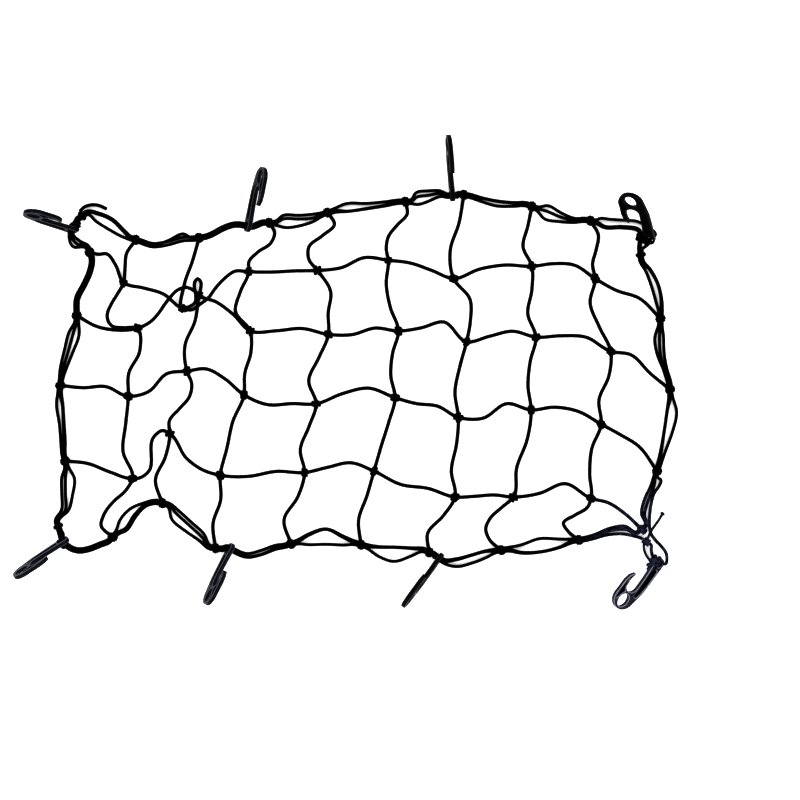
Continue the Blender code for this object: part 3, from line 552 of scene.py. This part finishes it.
def braidedPolyester():
    # black braided polyester sheath over rubber: matt, with a faint cool sheen where it turns away
    material, tree = emptyMaterial("braidedPolyesterSheath")
    lay = addNode(tree, "ShaderNodeAttribute", {"attribute_name": "lay"})
    parts = addNode(tree, "ShaderNodeSeparateXYZ", inputs={0: lay.outputs["Vector"]})
    angle = addNode(tree, "ShaderNodeMath", {"operation": "ARCTAN2"},
                    {0: parts.outputs["Y"], 1: parts.outputs["X"]})
    around = addNode(tree, "ShaderNodeMath", {"operation": "MULTIPLY"},
                     {0: angle.outputs[0], 1: float(cordLook["carriers"])})
    # one carrier's yarn goes once round in turnLength millimetres
    along = addNode(tree, "ShaderNodeMath", {"operation": "MULTIPLY"},
                    {0: parts.outputs["Z"],
                     1: 2 * math.pi * cordLook["carriers"] / (cordLook["turnLength"] * mm)})
    waves = []
    for operation in ("ADD", "SUBTRACT"):
        phase = addNode(tree, "ShaderNodeMath", {"operation": operation},
                        {0: around.outputs[0], 1: along.outputs[0]})
        waves.append(addNode(tree, "ShaderNodeMath", {"operation": "SINE"}, {0: phase.outputs[0]}))
    weave = addNode(tree, "ShaderNodeMath", {"operation": "MAXIMUM"},
                    {0: waves[0].outputs[0], 1: waves[1].outputs[0]})
    place = addNode(tree, "ShaderNodeTexCoord")
    noise = {}
    for name, (scale, detail, roughness) in cordLook["noise"].items():
        noise[name] = addNode(tree, "ShaderNodeTexNoise", inputs={
            "Vector": place.outputs["Object"], "Scale": scale, "Detail": detail,
            "Roughness": roughness}).outputs["Fac"]
    tint = addNode(tree, "ShaderNodeMix", {"data_type": "RGBA"}, {
        "Factor": noise["patches"], "A": linear(cordLook["black"]),
        "B": linear(cordLook["blueBlack"])})
    # the crowns of the braid's yarns are painted a little lighter: a painted highlight along each yarn
    ridge = addNode(tree, "ShaderNodeMapRange", inputs={
        "Value": weave.outputs[0], "From Min": 0.2, "From Max": 1.0, "To Min": 0.0,
        "To Max": cordLook["paintedHighlightShare"]})
    shade = addNode(tree, "ShaderNodeMix", {"data_type": "RGBA"}, {
        "Factor": ridge.outputs["Result"], "A": tint.outputs["Result"],
        "B": linear(cordLook["paintedHighlight"])})
    # round the corner with the loose tail the sheath gets a painted highlight, a dusty-navy sheen in
    # streaks along it
    fromCorner = addNode(tree, "ShaderNodeVectorMath", {"operation": "DISTANCE"},
                         {0: place.outputs["Object"], 1: cordLook["paintedSheenAt"]})
    nearCorner = addNode(tree, "ShaderNodeMapRange", inputs={
        "Value": fromCorner.outputs["Value"], "From Min": cordLook["paintedSheenFrom"],
        "From Max": cordLook["paintedSheenTo"], "To Min": 1.0, "To Max": 0.0})
    sheenStreak = addNode(tree, "ShaderNodeMapRange", inputs={
        "Value": noise["sheenStreaks"], "From Min": cordLook["sheenStreakFrom"],
        "From Max": cordLook["sheenStreakTo"], "To Min": cordLook["leastSheen"],
        "To Max": cordLook["mostSheen"]})
    paintedSheenShare = addNode(tree, "ShaderNodeMath", {"operation": "MULTIPLY"},
                     {0: nearCorner.outputs["Result"], 1: sheenStreak.outputs["Result"]})
    colour = addNode(tree, "ShaderNodeMix", {"data_type": "RGBA"}, {
        "Factor": paintedSheenShare.outputs[0], "A": shade.outputs["Result"], "B": linear(cordLook["paintedSheen"])})
    height = addNode(tree, "ShaderNodeMath", {"operation": "MULTIPLY_ADD"},
                     {0: noise["fuzz"], 1: 0.5, 2: weave.outputs[0]})
    bump = addNode(tree, "ShaderNodeBump", inputs={
        "Strength": cordLook["bump"], "Distance": cordLook["relief"] * mm,
        "Height": height.outputs[0]})
    surface = addNode(tree, "ShaderNodeBsdfPrincipled", inputs={
        "Base Color": colour.outputs["Result"], "Roughness": cordLook["roughness"],
        "Normal": bump.outputs["Normal"], "IOR": 1.5, "Specular IOR Level": cordLook["specular"],
        "Sheen Weight": cordLook["sheen"], "Sheen Roughness": cordLook["sheenRoughness"],
        "Sheen Tint": linear(cordLook["sheenTint"])})
    addNode(tree, "ShaderNodeOutputMaterial", inputs={"Surface": surface.outputs["BSDF"]})
    return material


# flow, grain and scuffs are about 18, 0.7 and 4 mm across, and the grain is coarser than a real
# mould's so that it shows;
# the scuffs vary the gloss and also break up the painted highlight on the rims
hookLook = {
    "black": "#020203", "slate": "#04050a", "rimHighlight": "#e4e8ff", "specular": 0.04,
    "roughness": 0.16, "glossier": 0.08, "duller": 0.22, "relief": 0.01, "bump": 0.4,
    "noise": {"flow": (55.0, 4.0, 0.5), "grain": (1400.0, 2.0, 0.5), "scuffsAndGlints": (240.0, 6.0, 0.75)},
}


def mouldedNylon():
    # glass-filled nylon from a polished mould: satin black, with a painted pale highlight along its
    # rounded edges
    material, tree = emptyMaterial("mouldedNylon")
    place = addNode(tree, "ShaderNodeTexCoord")
    noise = {}
    for name, (scale, detail, roughness) in hookLook["noise"].items():
        noise[name] = addNode(tree, "ShaderNodeTexNoise", inputs={
            "Vector": place.outputs["Object"], "Scale": scale, "Detail": detail,
            "Roughness": roughness}).outputs["Fac"]
    paintedHighlight = addNode(tree, "ShaderNodeAttribute", {"attribute_name": "rimHighlightMask"})
    tint = addNode(tree, "ShaderNodeMix", {"data_type": "RGBA"}, {
        "Factor": noise["flow"], "A": linear(hookLook["black"]), "B": linear(hookLook["slate"])})
    # the painted highlight on the rims, broken up by the scuffs noise
    paintedRimLight = addNode(tree, "ShaderNodeMath", {"operation": "MULTIPLY"},
                     {0: paintedHighlight.outputs["Fac"], 1: noise["scuffsAndGlints"]})
    shade = addNode(tree, "ShaderNodeMix", {"data_type": "RGBA"}, {
        "Factor": paintedRimLight.outputs[0], "A": tint.outputs["Result"], "B": linear(hookLook["rimHighlight"])})
    gloss = addNode(tree, "ShaderNodeMapRange", inputs={
        "Value": noise["scuffsAndGlints"], "To Min": hookLook["roughness"] - hookLook["glossier"],
        "To Max": hookLook["roughness"] + hookLook["duller"]})
    bump = addNode(tree, "ShaderNodeBump", inputs={
        "Strength": hookLook["bump"], "Distance": hookLook["relief"] * mm,
        "Height": noise["grain"]})
    surface = addNode(tree, "ShaderNodeBsdfPrincipled", inputs={
        "Base Color": shade.outputs["Result"], "Roughness": gloss.outputs["Result"],
        "Normal": bump.outputs["Normal"], "IOR": 1.53,
        "Specular IOR Level": hookLook["specular"]})
    addNode(tree, "ShaderNodeOutputMaterial", inputs={"Surface": surface.outputs["BSDF"]})
    return material


# mottle is counted in a metre; the glow keeps the ground between the strands white
floorLook = {"dull": "#fbfbfb", "white": "#ffffff", "mottle": 3.0, "roughness": 0.9, "specular": 0.1,
             "glow": 0.6}


def paleFloor():
    # a roll of matt white paper under the net: even and bright, with hardly any shine
    material, tree = emptyMaterial("whitePaperRoll")
    place = addNode(tree, "ShaderNodeTexCoord")
    mottle = addNode(tree, "ShaderNodeTexNoise", inputs={
        "Vector": place.outputs["Object"], "Scale": floorLook["mottle"]})
    tint = addNode(tree, "ShaderNodeMix", {"data_type": "RGBA"}, {
        "Factor": mottle.outputs["Fac"], "A": linear(floorLook["dull"]),
        "B": linear(floorLook["white"])})
    surface = addNode(tree, "ShaderNodeBsdfPrincipled", inputs={
        "Base Color": tint.outputs["Result"], "Roughness": floorLook["roughness"],
        "Specular IOR Level": floorLook["specular"], "Emission Color": linear(floorLook["white"]),
        "Emission Strength": floorLook["glow"]})
    addNode(tree, "ShaderNodeOutputMaterial", inputs={"Surface": surface.outputs["BSDF"]})
    return material


sheath = braidedPolyester()
nylon = mouldedNylon()


# objects
def linked(name, data):
    piece = bpy.data.objects.new(name, data)
    scene.collection.objects.link(piece)
    return piece


def finalMesh(piece):
    bpy.context.view_layer.update()
    depsgraph = bpy.context.evaluated_depsgraph_get()
    return bpy.data.meshes.new_from_object(piece.evaluated_get(depsgraph))


# geometry nodes
def newTree(name, sizes):
    tree = bpy.data.node_groups.new(name, "GeometryNodeTree")
    tree.interface.new_socket("Geometry", in_out="INPUT", socket_type="NodeSocketGeometry")
    for label, kind in sizes.items():
        tree.interface.new_socket(label, in_out="INPUT", socket_type=kind)
    tree.interface.new_socket("Geometry", in_out="OUTPUT", socket_type="NodeSocketGeometry")
    return tree


def applyTree(piece, tree, values):
    step = piece.modifiers.new(tree.name, "NODES")
    step.node_group = tree
    for item in tree.interface.items_tree:
        if item.item_type == "SOCKET" and item.in_out == "INPUT" and item.name in values:
            step[item.identifier] = values[item.name]
    mesh = finalMesh(piece)
    piece.modifiers.clear()
    piece.data = mesh
    return piece


def finishTree(tree, geometry, material):
    real = addNode(tree, "GeometryNodeRealizeInstances", inputs={"Geometry": geometry})
    finished = addNode(tree, "GeometryNodeSetMaterial", inputs={
        "Geometry": real.outputs[0], "Material": material})
    addNode(tree, "NodeGroupOutput", inputs={"Geometry": finished.outputs[0]})
    return tree


def keptMeasure(tree, curve, name, measure):
    # the spline's own length or share at each of its points, kept under the name
    spline = addNode(tree, "GeometryNodeSplineParameter")
    keep = addNode(tree, "GeometryNodeCaptureAttribute", {"domain": "POINT"})
    keep.capture_items.new("FLOAT", name)
    tree.links.new(curve.outputs["Curve"], keep.inputs["Geometry"])
    tree.links.new(spline.outputs[measure], keep.inputs[name])
    return keep


def cordTree():
    # a round cord along every run of edges; lay holds the angle round it and the way along it
    tree = newTree("cordAlongPath", {
        "Cord radius": "NodeSocketFloat", "Ring spacing": "NodeSocketFloat",
        "Sides": "NodeSocketInt", "Cord material": "NodeSocketMaterial"})
    given = addNode(tree, "NodeGroupInput")
    path = addNode(tree, "GeometryNodeMeshToCurve", inputs={"Mesh": given.outputs["Geometry"]})
    even = addNode(tree, "GeometryNodeResampleCurve", {"mode": "LENGTH"}, {
        "Curve": path.outputs["Curve"], "Length": given.outputs["Ring spacing"]})
    keepWay = keptMeasure(tree, even, "way", "Length")
    ring = addNode(tree, "GeometryNodeCurvePrimitiveCircle", {"mode": "RADIUS"}, {
        "Resolution": given.outputs["Sides"], "Radius": given.outputs["Cord radius"]})
    keepTurn = keptMeasure(tree, ring, "turn", "Factor")
    tube = addNode(tree, "GeometryNodeCurveToMesh", inputs={
        "Curve": keepWay.outputs["Geometry"], "Profile Curve": keepTurn.outputs["Geometry"],
        "Fill Caps": True})
    angle = addNode(tree, "ShaderNodeMath", {"operation": "MULTIPLY"},
                    {0: keepTurn.outputs["turn"], 1: 2 * math.pi})
    cosine = addNode(tree, "ShaderNodeMath", {"operation": "COSINE"}, {0: angle.outputs[0]})
    sine = addNode(tree, "ShaderNodeMath", {"operation": "SINE"}, {0: angle.outputs[0]})
    lay = addNode(tree, "ShaderNodeCombineXYZ", inputs={
        "X": cosine.outputs[0], "Y": sine.outputs[0], "Z": keepWay.outputs["way"]})
    stored = addNode(tree, "GeometryNodeStoreNamedAttribute",
                     {"data_type": "FLOAT_VECTOR", "domain": "POINT"},
                     {"Geometry": tube.outputs["Mesh"], "Name": "lay", "Value": lay.outputs[0]})
    soft = addNode(tree, "GeometryNodeSetShadeSmooth", inputs={"Geometry": stored.outputs[0]})
    return finishTree(tree, soft.outputs[0], given.outputs["Cord material"])


def scatterTree():
    # a wrap of cord on every point, turned by the point's own heading
    tree = newTree("wrapOnPoints", {"Wrap": "NodeSocketObject", "Wrap material": "NodeSocketMaterial"})
    given = addNode(tree, "NodeGroupInput")
    wrap = addNode(tree, "GeometryNodeObjectInfo", {"transform_space": "ORIGINAL"},
                   {"Object": given.outputs["Wrap"], "As Instance": True})
    heading = addNode(tree, "GeometryNodeInputNamedAttribute", {"data_type": "FLOAT"},
                      {"Name": "heading"})
    turn = addNode(tree, "ShaderNodeCombineXYZ", inputs={"Z": heading.outputs["Attribute"]})
    size = addNode(tree, "GeometryNodeInputNamedAttribute", {"data_type": "FLOAT"},
                   {"Name": "size"})
    placed = addNode(tree, "GeometryNodeInstanceOnPoints", inputs={
        "Points": given.outputs["Geometry"], "Instance": wrap.outputs["Geometry"],
        "Rotation": turn.outputs[0], "Scale": size.outputs["Attribute"]})
    return finishTree(tree, placed.outputs[0], given.outputs["Wrap material"])


cordNodes = cordTree()
scatterNodes = scatterTree()


def pathObject(name, routes):
    verts, edges = [], []
    for route in routes:
        start = len(verts)
        verts += [tuple(point * mm) for point in route]
        edges += [(start + i, start + i + 1) for i in range(len(route) - 1)]
    mesh = bpy.data.meshes.new(name)
    mesh.from_pydata(verts, edges, [])
    return linked(name, mesh)


def cordPiece(name, routes, radius=None, spacing=None, sides=None):
    piece = pathObject(name, routes)
    return applyTree(piece, cordNodes, {
        "Cord radius": (radius or cordSizes["drawn"]) * mm,
        "Ring spacing": (spacing or cordSizes["ringSpacing"]) * mm,
        "Sides": sides or cordSizes["sides"], "Cord material": sheath})


def pressFlat(piece):
    # nothing sinks into the surface that the net lies on
    for vertex in piece.data.vertices:
        vertex.co.z = max(vertex.co.z, cordSizes["lowest"] * mm)


def wear(piece, slot, *nodes):
    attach(piece, "root")
    if nodes:
        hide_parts(*nodes)


# net
def netRoutes():
    routes = []
    raised = cordSizes["radius"] + cordSizes["knotLift"]
    edge = cordSizes["radius"] + cordSizes["edgeLift"]
    for r, stretches in enumerate(crossLines):
        inner = [Vector((x, y, raised)) for x, y in knots["row%d" % (r + 1)]]
        line = [Vector((*knots["left"][r], edge))] + inner + [Vector((*knots["right"][r], edge))]
        routes.append(netLine("cross", r, line, stretches, Vector((0, 1, 0))))
    for c, stretches in enumerate(downLines):
        inner = [Vector((*knots["row%d" % (r + 1)][c], raised)) for r in range(len(crossLines))]
        line = [Vector((*knots["top"][c], edge))] + inner + [Vector((*knots["bottom"][c], edge))]
        routes.append(netLine("down", c, line, stretches, Vector((1, 0, 0))))
    return routes


netCords = cordPiece("netCords", netRoutes())
pressFlat(netCords)
wear(netCords, "elastic_cord", "net")
print("net cords:", len(netCords.data.polygons), "faces")

# a net knot: two turns one way, one turn over them the other way; each knot is turned on from
# the last one, and comes in one of four sizes
knotShape = {
    "halfWidth": 4.9, "halfHeight": 2.9, "pitch": 5.2, "lean": 0.7, "cord": 2.35, "middle": 5.0,
    "overNarrower": 0.2, "overHigher": 0.1, "overHeading": 1.45, "overLean": -0.5,
    "steps": 28, "spacing": 1.1, "sides": 9,
    "firstHeading": 0.6, "nextHeading": 0.83, "smallest": 0.98, "sizeRange": 0.08,
}


def ringPath(halfWidth, halfHeight, offset, heading, lean):
    points = []
    for i in range(knotShape["steps"] + 1):
        angle = 2 * math.pi * i / knotShape["steps"]
        along = offset + lean * math.sin(angle)
        side = halfWidth * math.cos(angle)
        up = knotShape["middle"] + halfHeight * math.sin(angle)
        x = along * math.cos(heading) - side * math.sin(heading)
        y = along * math.sin(heading) + side * math.cos(heading)
        points.append(Vector((x, y, up)))
    return points


def knotWrap():
    wide, high = knotShape["halfWidth"], knotShape["halfHeight"]
    half = 0.5 * knotShape["pitch"]
    routes = [ringPath(wide, high, offset, 0.0, knotShape["lean"]) for offset in (-half, half)]
    routes.append(ringPath(wide - knotShape["overNarrower"], high + knotShape["overHigher"], 0.0,
                           knotShape["overHeading"], knotShape["overLean"]))
    return cordPiece("knotWrap", routes, knotShape["cord"], knotShape["spacing"],
                     knotShape["sides"])


def pointsObject(name, places, turns, sizes):
    mesh = bpy.data.meshes.new(name)
    mesh.from_pydata([tuple(p * mm) for p in places], [], [])
    for label, values in (("heading", turns), ("size", sizes)):
        mesh.attributes.new(label, "FLOAT", "POINT").data.foreach_set("value", values)
    return linked(name, mesh)


def scattered(name, wrap, places, turns, sizes):
    piece = pointsObject(name, places, turns, sizes)
    applyTree(piece, scatterNodes, {"Wrap": wrap, "Wrap material": sheath})
    bpy.data.objects.remove(wrap, do_unlink=True)  # only its copies stay
    pressFlat(piece)
    return piece


places, turns, sizes = [], [], []
for r in range(len(crossLines)):
    for c, (x, y) in enumerate(knots["row%d" % (r + 1)]):
        places.append(centred((x, y, 0.0)))
        turns.append(knotShape["firstHeading"] + knotShape["nextHeading"] * (r * len(downLines) + c))
        sizes.append(knotShape["smallest"] + knotShape["sizeRange"] * ((r * 3 + c * 5) % 4) / 3)
netKnots = scattered("netKnots", knotWrap(), places, turns, sizes)
wear(netKnots, "elastic_cord")
print("net knots:", len(netKnots.data.polygons), "faces")

# an edge knot: turns of cord round the three border strands and one turn laid back over them;
# a corner tie is shorter, with fewer turns
edgeShape = {
    "radius": 4.7, "height": 4.9, "cord": 2.0, "turns": 3, "length": 8.4, "swell": 1.1,
    "start": -1.9, "tieTurns": 2, "tieLength": 5.0, "stepsPerTurn": 26, "spacing": 1.3, "sides": 9,
    "overShare": 0.55, "overWider": 0.5, "overHigher": 0.4, "overStart": 1.2,
}


def coilPath(turns, length, radius, height, startAngle):
    points = []
    steps = edgeShape["stepsPerTurn"] * turns
    for i in range(steps + 1):
        share = i / steps
        angle = startAngle + 2 * math.pi * turns * share
        swell = edgeShape["swell"] * math.sin(math.pi * share)
        points.append(Vector((length * (share - 0.5), (radius + swell) * math.cos(angle),
                              bundle["height"] + (height + swell) * math.sin(angle))))
    return points


def edgeWrap(name, turns, length):
    radius, height = edgeShape["radius"], edgeShape["height"]
    coil = coilPath(turns, length, radius, height, edgeShape["start"])
    over = coilPath(1, edgeShape["overShare"] * length, radius + edgeShape["overWider"],
                    height + edgeShape["overHigher"], edgeShape["overStart"])
    for point in over:
        point.x = -point.x
    return cordPiece(name, [coil, over], edgeShape["cord"], edgeShape["spacing"],
                     edgeShape["sides"])


places, turns, sizes = [], [], []
for i, row in enumerate(border):
    if row[0] in cornerTies or row[0].startswith("hook"):
        continue
    ahead = stationDirection(i)
    centre = stationPoint(row[0])
    places.append(Vector((centre.x, centre.y, 0.0)))
    turns.append(math.atan2(ahead.y, ahead.x) + (math.pi if i % 2 else 0.0))
    sizes.append(1.0)
edgeKnots = scattered("edgeKnots", edgeWrap("edgeWrap", edgeShape["turns"], edgeShape["length"]),
                      places, turns, sizes)
wear(edgeKnots, "elastic_cord")
print("edge knots:", len(edgeKnots.data.polygons), "faces")

# knots of the cord that ties some hooks on, each turned on from the last one
lashingTurns = {"first": 0.4, "next": 1.1}
lashings = [  # x, y, height of the knot's foot, size
    (-403.5, 209.5, 4.0, 1.0), (-400.0, 214.0, 2.0, 0.8), (428.0, 196.0, 3.0, 1.15),
    (436.0, 190.5, 4.0, 1.0), (444.0, -288.0, 3.0, 1.1), (450.0, -280.0, 7.0, 1.3),
    (-421.5, -253.5, 4.0, 1.2),
]
hookLashings = scattered(
    "hookLashings", knotWrap(), [centred(spot) for spot in lashings],
    [lashingTurns["first"] + lashingTurns["next"] * k for k in range(len(lashings))],
    [spot[3] for spot in lashings])
wear(hookLashings, "elastic_cord")
print("hook lashings:", len(hookLashings.data.polygons), "faces")

# border, its strands drawn a little thinner than the net's cord so that they read as three
for lane, route in borderRoutes().items():
    strand = cordPiece("borderStrand" + lane.capitalize(), [route], bundle["drawn"])
    pressFlat(strand)
    wear(strand, "elastic_cord", "border_cord_" + lane)
print("border strands done")

tipShape = {"segments": 14, "rings": 8, "squash": 0.7, "swell": 1.08, "bigSwell": 1.35}


def meltedTip(route, swell):
    # the cut end of a cord, sealed with heat and swollen
    end = route[-1]
    ahead = (route[-1] - route[-2]).normalized()
    shape = bmesh.new()
    bmesh.ops.create_uvsphere(shape, u_segments=tipShape["segments"], v_segments=tipShape["rings"],
                              radius=cordSizes["drawn"] * swell * mm)
    bmesh.ops.scale(shape, vec=(1.0, 1.0, tipShape["squash"]), verts=shape.verts)
    turn = ahead.to_track_quat("Z", "Y").to_matrix().to_4x4()
    bmesh.ops.transform(shape, matrix=Matrix.Translation(end * mm) @ turn, verts=shape.verts)
    mesh = bpy.data.meshes.new("meltedTip")
    shape.to_mesh(mesh)
    shape.free()
    mesh.materials.append(sheath)
    mesh.shade_smooth()
    return linked("meltedTip", mesh)


def joinPieces(name, pieces):
    # every piece's mesh in one, with the attributes kept
    for other in bpy.context.selected_objects:
        other.select_set(False)
    for piece in pieces:
        piece.select_set(True)
    bpy.context.view_layer.objects.active = pieces[0]
    if len(pieces) > 1:
        bpy.ops.object.join()
    pieces[0].name = name
    return pieces[0]


# corner ties
for tie in cornerTies:
    ahead = stationDirection(stations.index(tie))
    centre = stationPoint(tie)
    wrap = edgeWrap("tieWrap", edgeShape["tieTurns"], edgeShape["tieLength"])
    pieces = [scattered(tie, wrap, [Vector((centre.x, centre.y, 0.0))],
                        [math.atan2(ahead.y, ahead.x)], [1.0])]
    if tie in tails:
        route = laidRoute(tails[tie])
        pieces += [cordPiece("tail", [route]), meltedTip(route, tipShape["swell"])]
    wear(joinPieces(tie, pieces), "elastic_cord", "corner_tie_" + tie[-1])

# the third corner's tie holds the outer strand alone, with a thinner cord
loneShape = {"turns": 3, "steps": 78, "length": 9.0, "halfWidth": 3.9, "halfHeight": 3.4,
             "cord": 1.9, "spacing": 1.1, "sides": 9}
start, end = [centred(point) for point in loneTie]
ahead = (end - start).normalized()
side = outward(ahead)
centre = start.lerp(end, 0.5)
coil = []
for i in range(loneShape["steps"] + 1):
    share = i / loneShape["steps"]
    angle = 2 * math.pi * loneShape["turns"] * share
    coil.append(centre + ahead * loneShape["length"] * (share - 0.5)
                + side * loneShape["halfWidth"] * math.cos(angle)
                + Vector((0, 0, loneShape["halfHeight"] * math.sin(angle))))
route = laidRoute(tails["cornerTie3"])
piece = joinPieces("cornerTie3", [
    cordPiece("coil", [coil], loneShape["cord"], loneShape["spacing"], loneShape["sides"]),
    cordPiece("tail", [route], loneShape["cord"]), meltedTip(route, tipShape["bigSwell"]),
    cordPiece("loop", [laidRoute(loopStrand)], loneShape["cord"])])
pressFlat(piece)
wear(piece, "elastic_cord", "corner_tie_3")
print("corner ties done")

# hooks: the pockets in each face, and where on the moulding a painted highlight is laid
shankPocket = [(19.5, 3.0), (45.0, 2.8), (60.0, 4.0), (71.0, 7.2), (69.5, 12.2), (58.0, 12.4),
               (19.5, 13.2)]
armPocket = [(51.0, 38.6), (60.0, 41.2), (80.0, 41.2), (87.5, 38.4), (75.0, 34.4), (70.4, 31.4),
             (66.0, 36.0)]
rimHighlightShape = {"faceDepth": 0.05, "edgeShare": 0.9, "webShare": 1.1, "onEdge": 1.0, "onFace": 0.12}


def softened(points):
    # the outline with its corners drawn round
    steps, share = hookShape["cornerSteps"], hookShape["cornerShare"]
    count = len(points)
    result = []
    for i in range(count):
        here = Vector(points[i])
        before = here.lerp(Vector(points[i - 1]), share)
        after = here.lerp(Vector(points[(i + 1) % count]), share)
        for k in range(steps + 1):
            t = k / steps
            result.append(tuple(before * (1 - t) ** 2 + here * 2 * t * (1 - t) + after * t ** 2))
    return result


def grown(points, distance):
    # the closed outline moved outwards by the distance
    count = len(points)
    area = sum(points[i - 1][0] * v - u * points[i - 1][1] for i, (u, v) in enumerate(points))
    side = 1 if area > 0 else -1
    result = []
    for i in range(count):
        run = Vector(points[(i + 1) % count]) - Vector(points[i - 1])
        normal = Vector((run.y, -run.x)).normalized() * side
        result.append(tuple(Vector(points[i]) + normal * distance))
    return result


def platePiece(name, loops, half, edge):
    curve = bpy.data.curves.new(name, "CURVE")
    curve.dimensions = "2D"
    curve.fill_mode = "BOTH"
    curve.extrude = (half - edge) * mm
    curve.bevel_depth = edge * mm
    curve.bevel_resolution = hookShape["edgeSteps"]
    curve.offset = -edge * mm
    for loop in loops:
        spline = curve.splines.new("POLY")
        spline.points.add(len(loop) - 1)
        for i, (u, v) in enumerate(loop):
            spline.points[i].co = (u * mm, v * mm, 0.0, 1.0)
        spline.use_cyclic_u = True
    shape = linked(name, curve)
    mesh = finalMesh(shape)
    bpy.data.objects.remove(shape, do_unlink=True)
    return mesh


def hookMesh():
    eye = 0.5 * hookShape["shankWidth"]
    half = 0.5 * hookShape["thickness"]
    outline = fromEye(hookOutline(True))
    u, v, reachU, reachV = hookShape["hole"]
    angles = [2 * math.pi * i / hookShape["holeSteps"] for i in range(hookShape["holeSteps"])]
    oval = [(u + reachU * math.cos(angle), v + reachV * math.sin(angle)) for angle in angles]
    eyeHole = arcPoints(eye, eye, hookShape["eyeRadius"], 0, 360, hookShape["eyeSteps"])[:-1]
    pockets = [fromEye(softened(shankPocket)), fromEye(softened(armPocket))]
    rims = platePiece("rims", [outline, fromEye(oval), fromEye(eyeHole)] + pockets, half,
                      hookShape["edge"])
    web = platePiece("web", [grown(pocket, hookShape["webOverlap"]) for pocket in pockets],
                     0.5 * hookShape["web"], hookShape["webEdge"])
    shape = bmesh.new()
    shape.from_mesh(rims)
    shape.from_mesh(web)
    bmesh.ops.remove_doubles(shape, verts=shape.verts, dist=hookShape["weld"] * mm)
    bmesh.ops.recalc_face_normals(shape, faces=shape.faces)
    highlightLayer = shape.verts.layers.float.new("rimHighlightMask")
    for vertex in shape.verts:
        # the painted highlight is strongest on the rounded edge, faint on the face and the wall beside
        # it, and absent from the web
        belowFace = half - abs(vertex.co.z) / mm
        onEdge = rimHighlightShape["faceDepth"] < belowFace < rimHighlightShape["edgeShare"] * hookShape["edge"]
        onWeb = belowFace > rimHighlightShape["webShare"] * hookShape["edge"]
        vertex[highlightLayer] = rimHighlightShape["onEdge"] if onEdge else 0.0 if onWeb else rimHighlightShape["onFace"]
    mesh = bpy.data.meshes.new("hook")
    shape.to_mesh(mesh)
    shape.free()
    mesh.materials.append(nylon)
    return mesh


pattern = hookMesh()
for number, hook in enumerate(hooks, start=1):
    mesh = pattern.copy()
    # each hook's painted rim highlight is scaled by its own strength
    for item in mesh.attributes["rimHighlightMask"].data:
        item.value *= hook["paintedRimLight"]
    mesh.transform(Matrix.Translation(hookCentre(hook) * mm) @ hookTurn(hook))
    mesh.shade_smooth()
    mesh.set_sharp_from_angle(angle=math.radians(hookShape["sharpAbove"]))
    wear(linked("mouldedHook%d" % number, mesh), "hook_plastic", "hook_%d" % number)
print("hooks:", len(pattern.polygons), "faces each")

# floor, light and camera
studio = {"floorReach": 6.0, "floorDrop": 0.0005, "sky": 0.35, "gamma": 0.6}
corners = [(east * studio["floorReach"], north * studio["floorReach"], -studio["floorDrop"])
           for east, north in ((-1, -1), (1, -1), (1, 1), (-1, 1))]
floorMesh = bpy.data.meshes.new("floor")
floorMesh.from_pydata(corners, [], [(0, 1, 2, 3)])
floorMesh.materials.append(paleFloor())
floor = linked("floor", floorMesh)
floor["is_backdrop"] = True

world = bpy.data.worlds.new("studio")
world.use_nodes = True
background = world.node_tree.nodes["Background"]
background.inputs["Color"].default_value = linear("#ffffff")
background.inputs["Strength"].default_value = studio["sky"]
scene.world = world
scene.view_settings.view_transform = "Standard"  # keeps the white ground white and the cord black
scene.view_settings.gamma = studio["gamma"]  # a hard print, as in the photo

# four soft boxes round the net, so that the ground is even and white and no shadow is hard
softBox = {"reach": 2.1, "height": 2.3, "size": 1.5, "power": 60}
for name, east, north in (("northEast", 1, 1), ("northWest", -1, 1), ("southWest", -1, -1),
                          ("southEast", 1, -1)):
    data = bpy.data.lights.new(name, "AREA")
    data.size = softBox["size"]
    data.energy = softBox["power"]
    lamp = linked(name, data)
    lamp.location = (east * softBox["reach"], north * softBox["reach"], softBox["height"])
    lamp.rotation_euler = (-lamp.location).to_track_quat("-Z", "Y").to_euler()

# a long lens from high up: in the photo the raised hooks lean outwards hardly at all
photo = {"x": 74.2, "y": -43.4, "width": 1176.0, "distance": 14000.0, "sensor": 36.0, "clipEnd": 50.0}
camera = linked("camera", bpy.data.cameras.new("camera"))
camera.location = centred((photo["x"], photo["y"], photo["distance"])) * mm
camera.data.sensor_width = photo["sensor"]
camera.data.lens = photo["sensor"] * photo["distance"] / photo["width"]
camera.data.clip_end = photo["clipEnd"]
scene.camera = camera

sizes = {"cad": [list(corner) for corner in cadBounds],
         "visual": [list(corner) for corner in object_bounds()]}
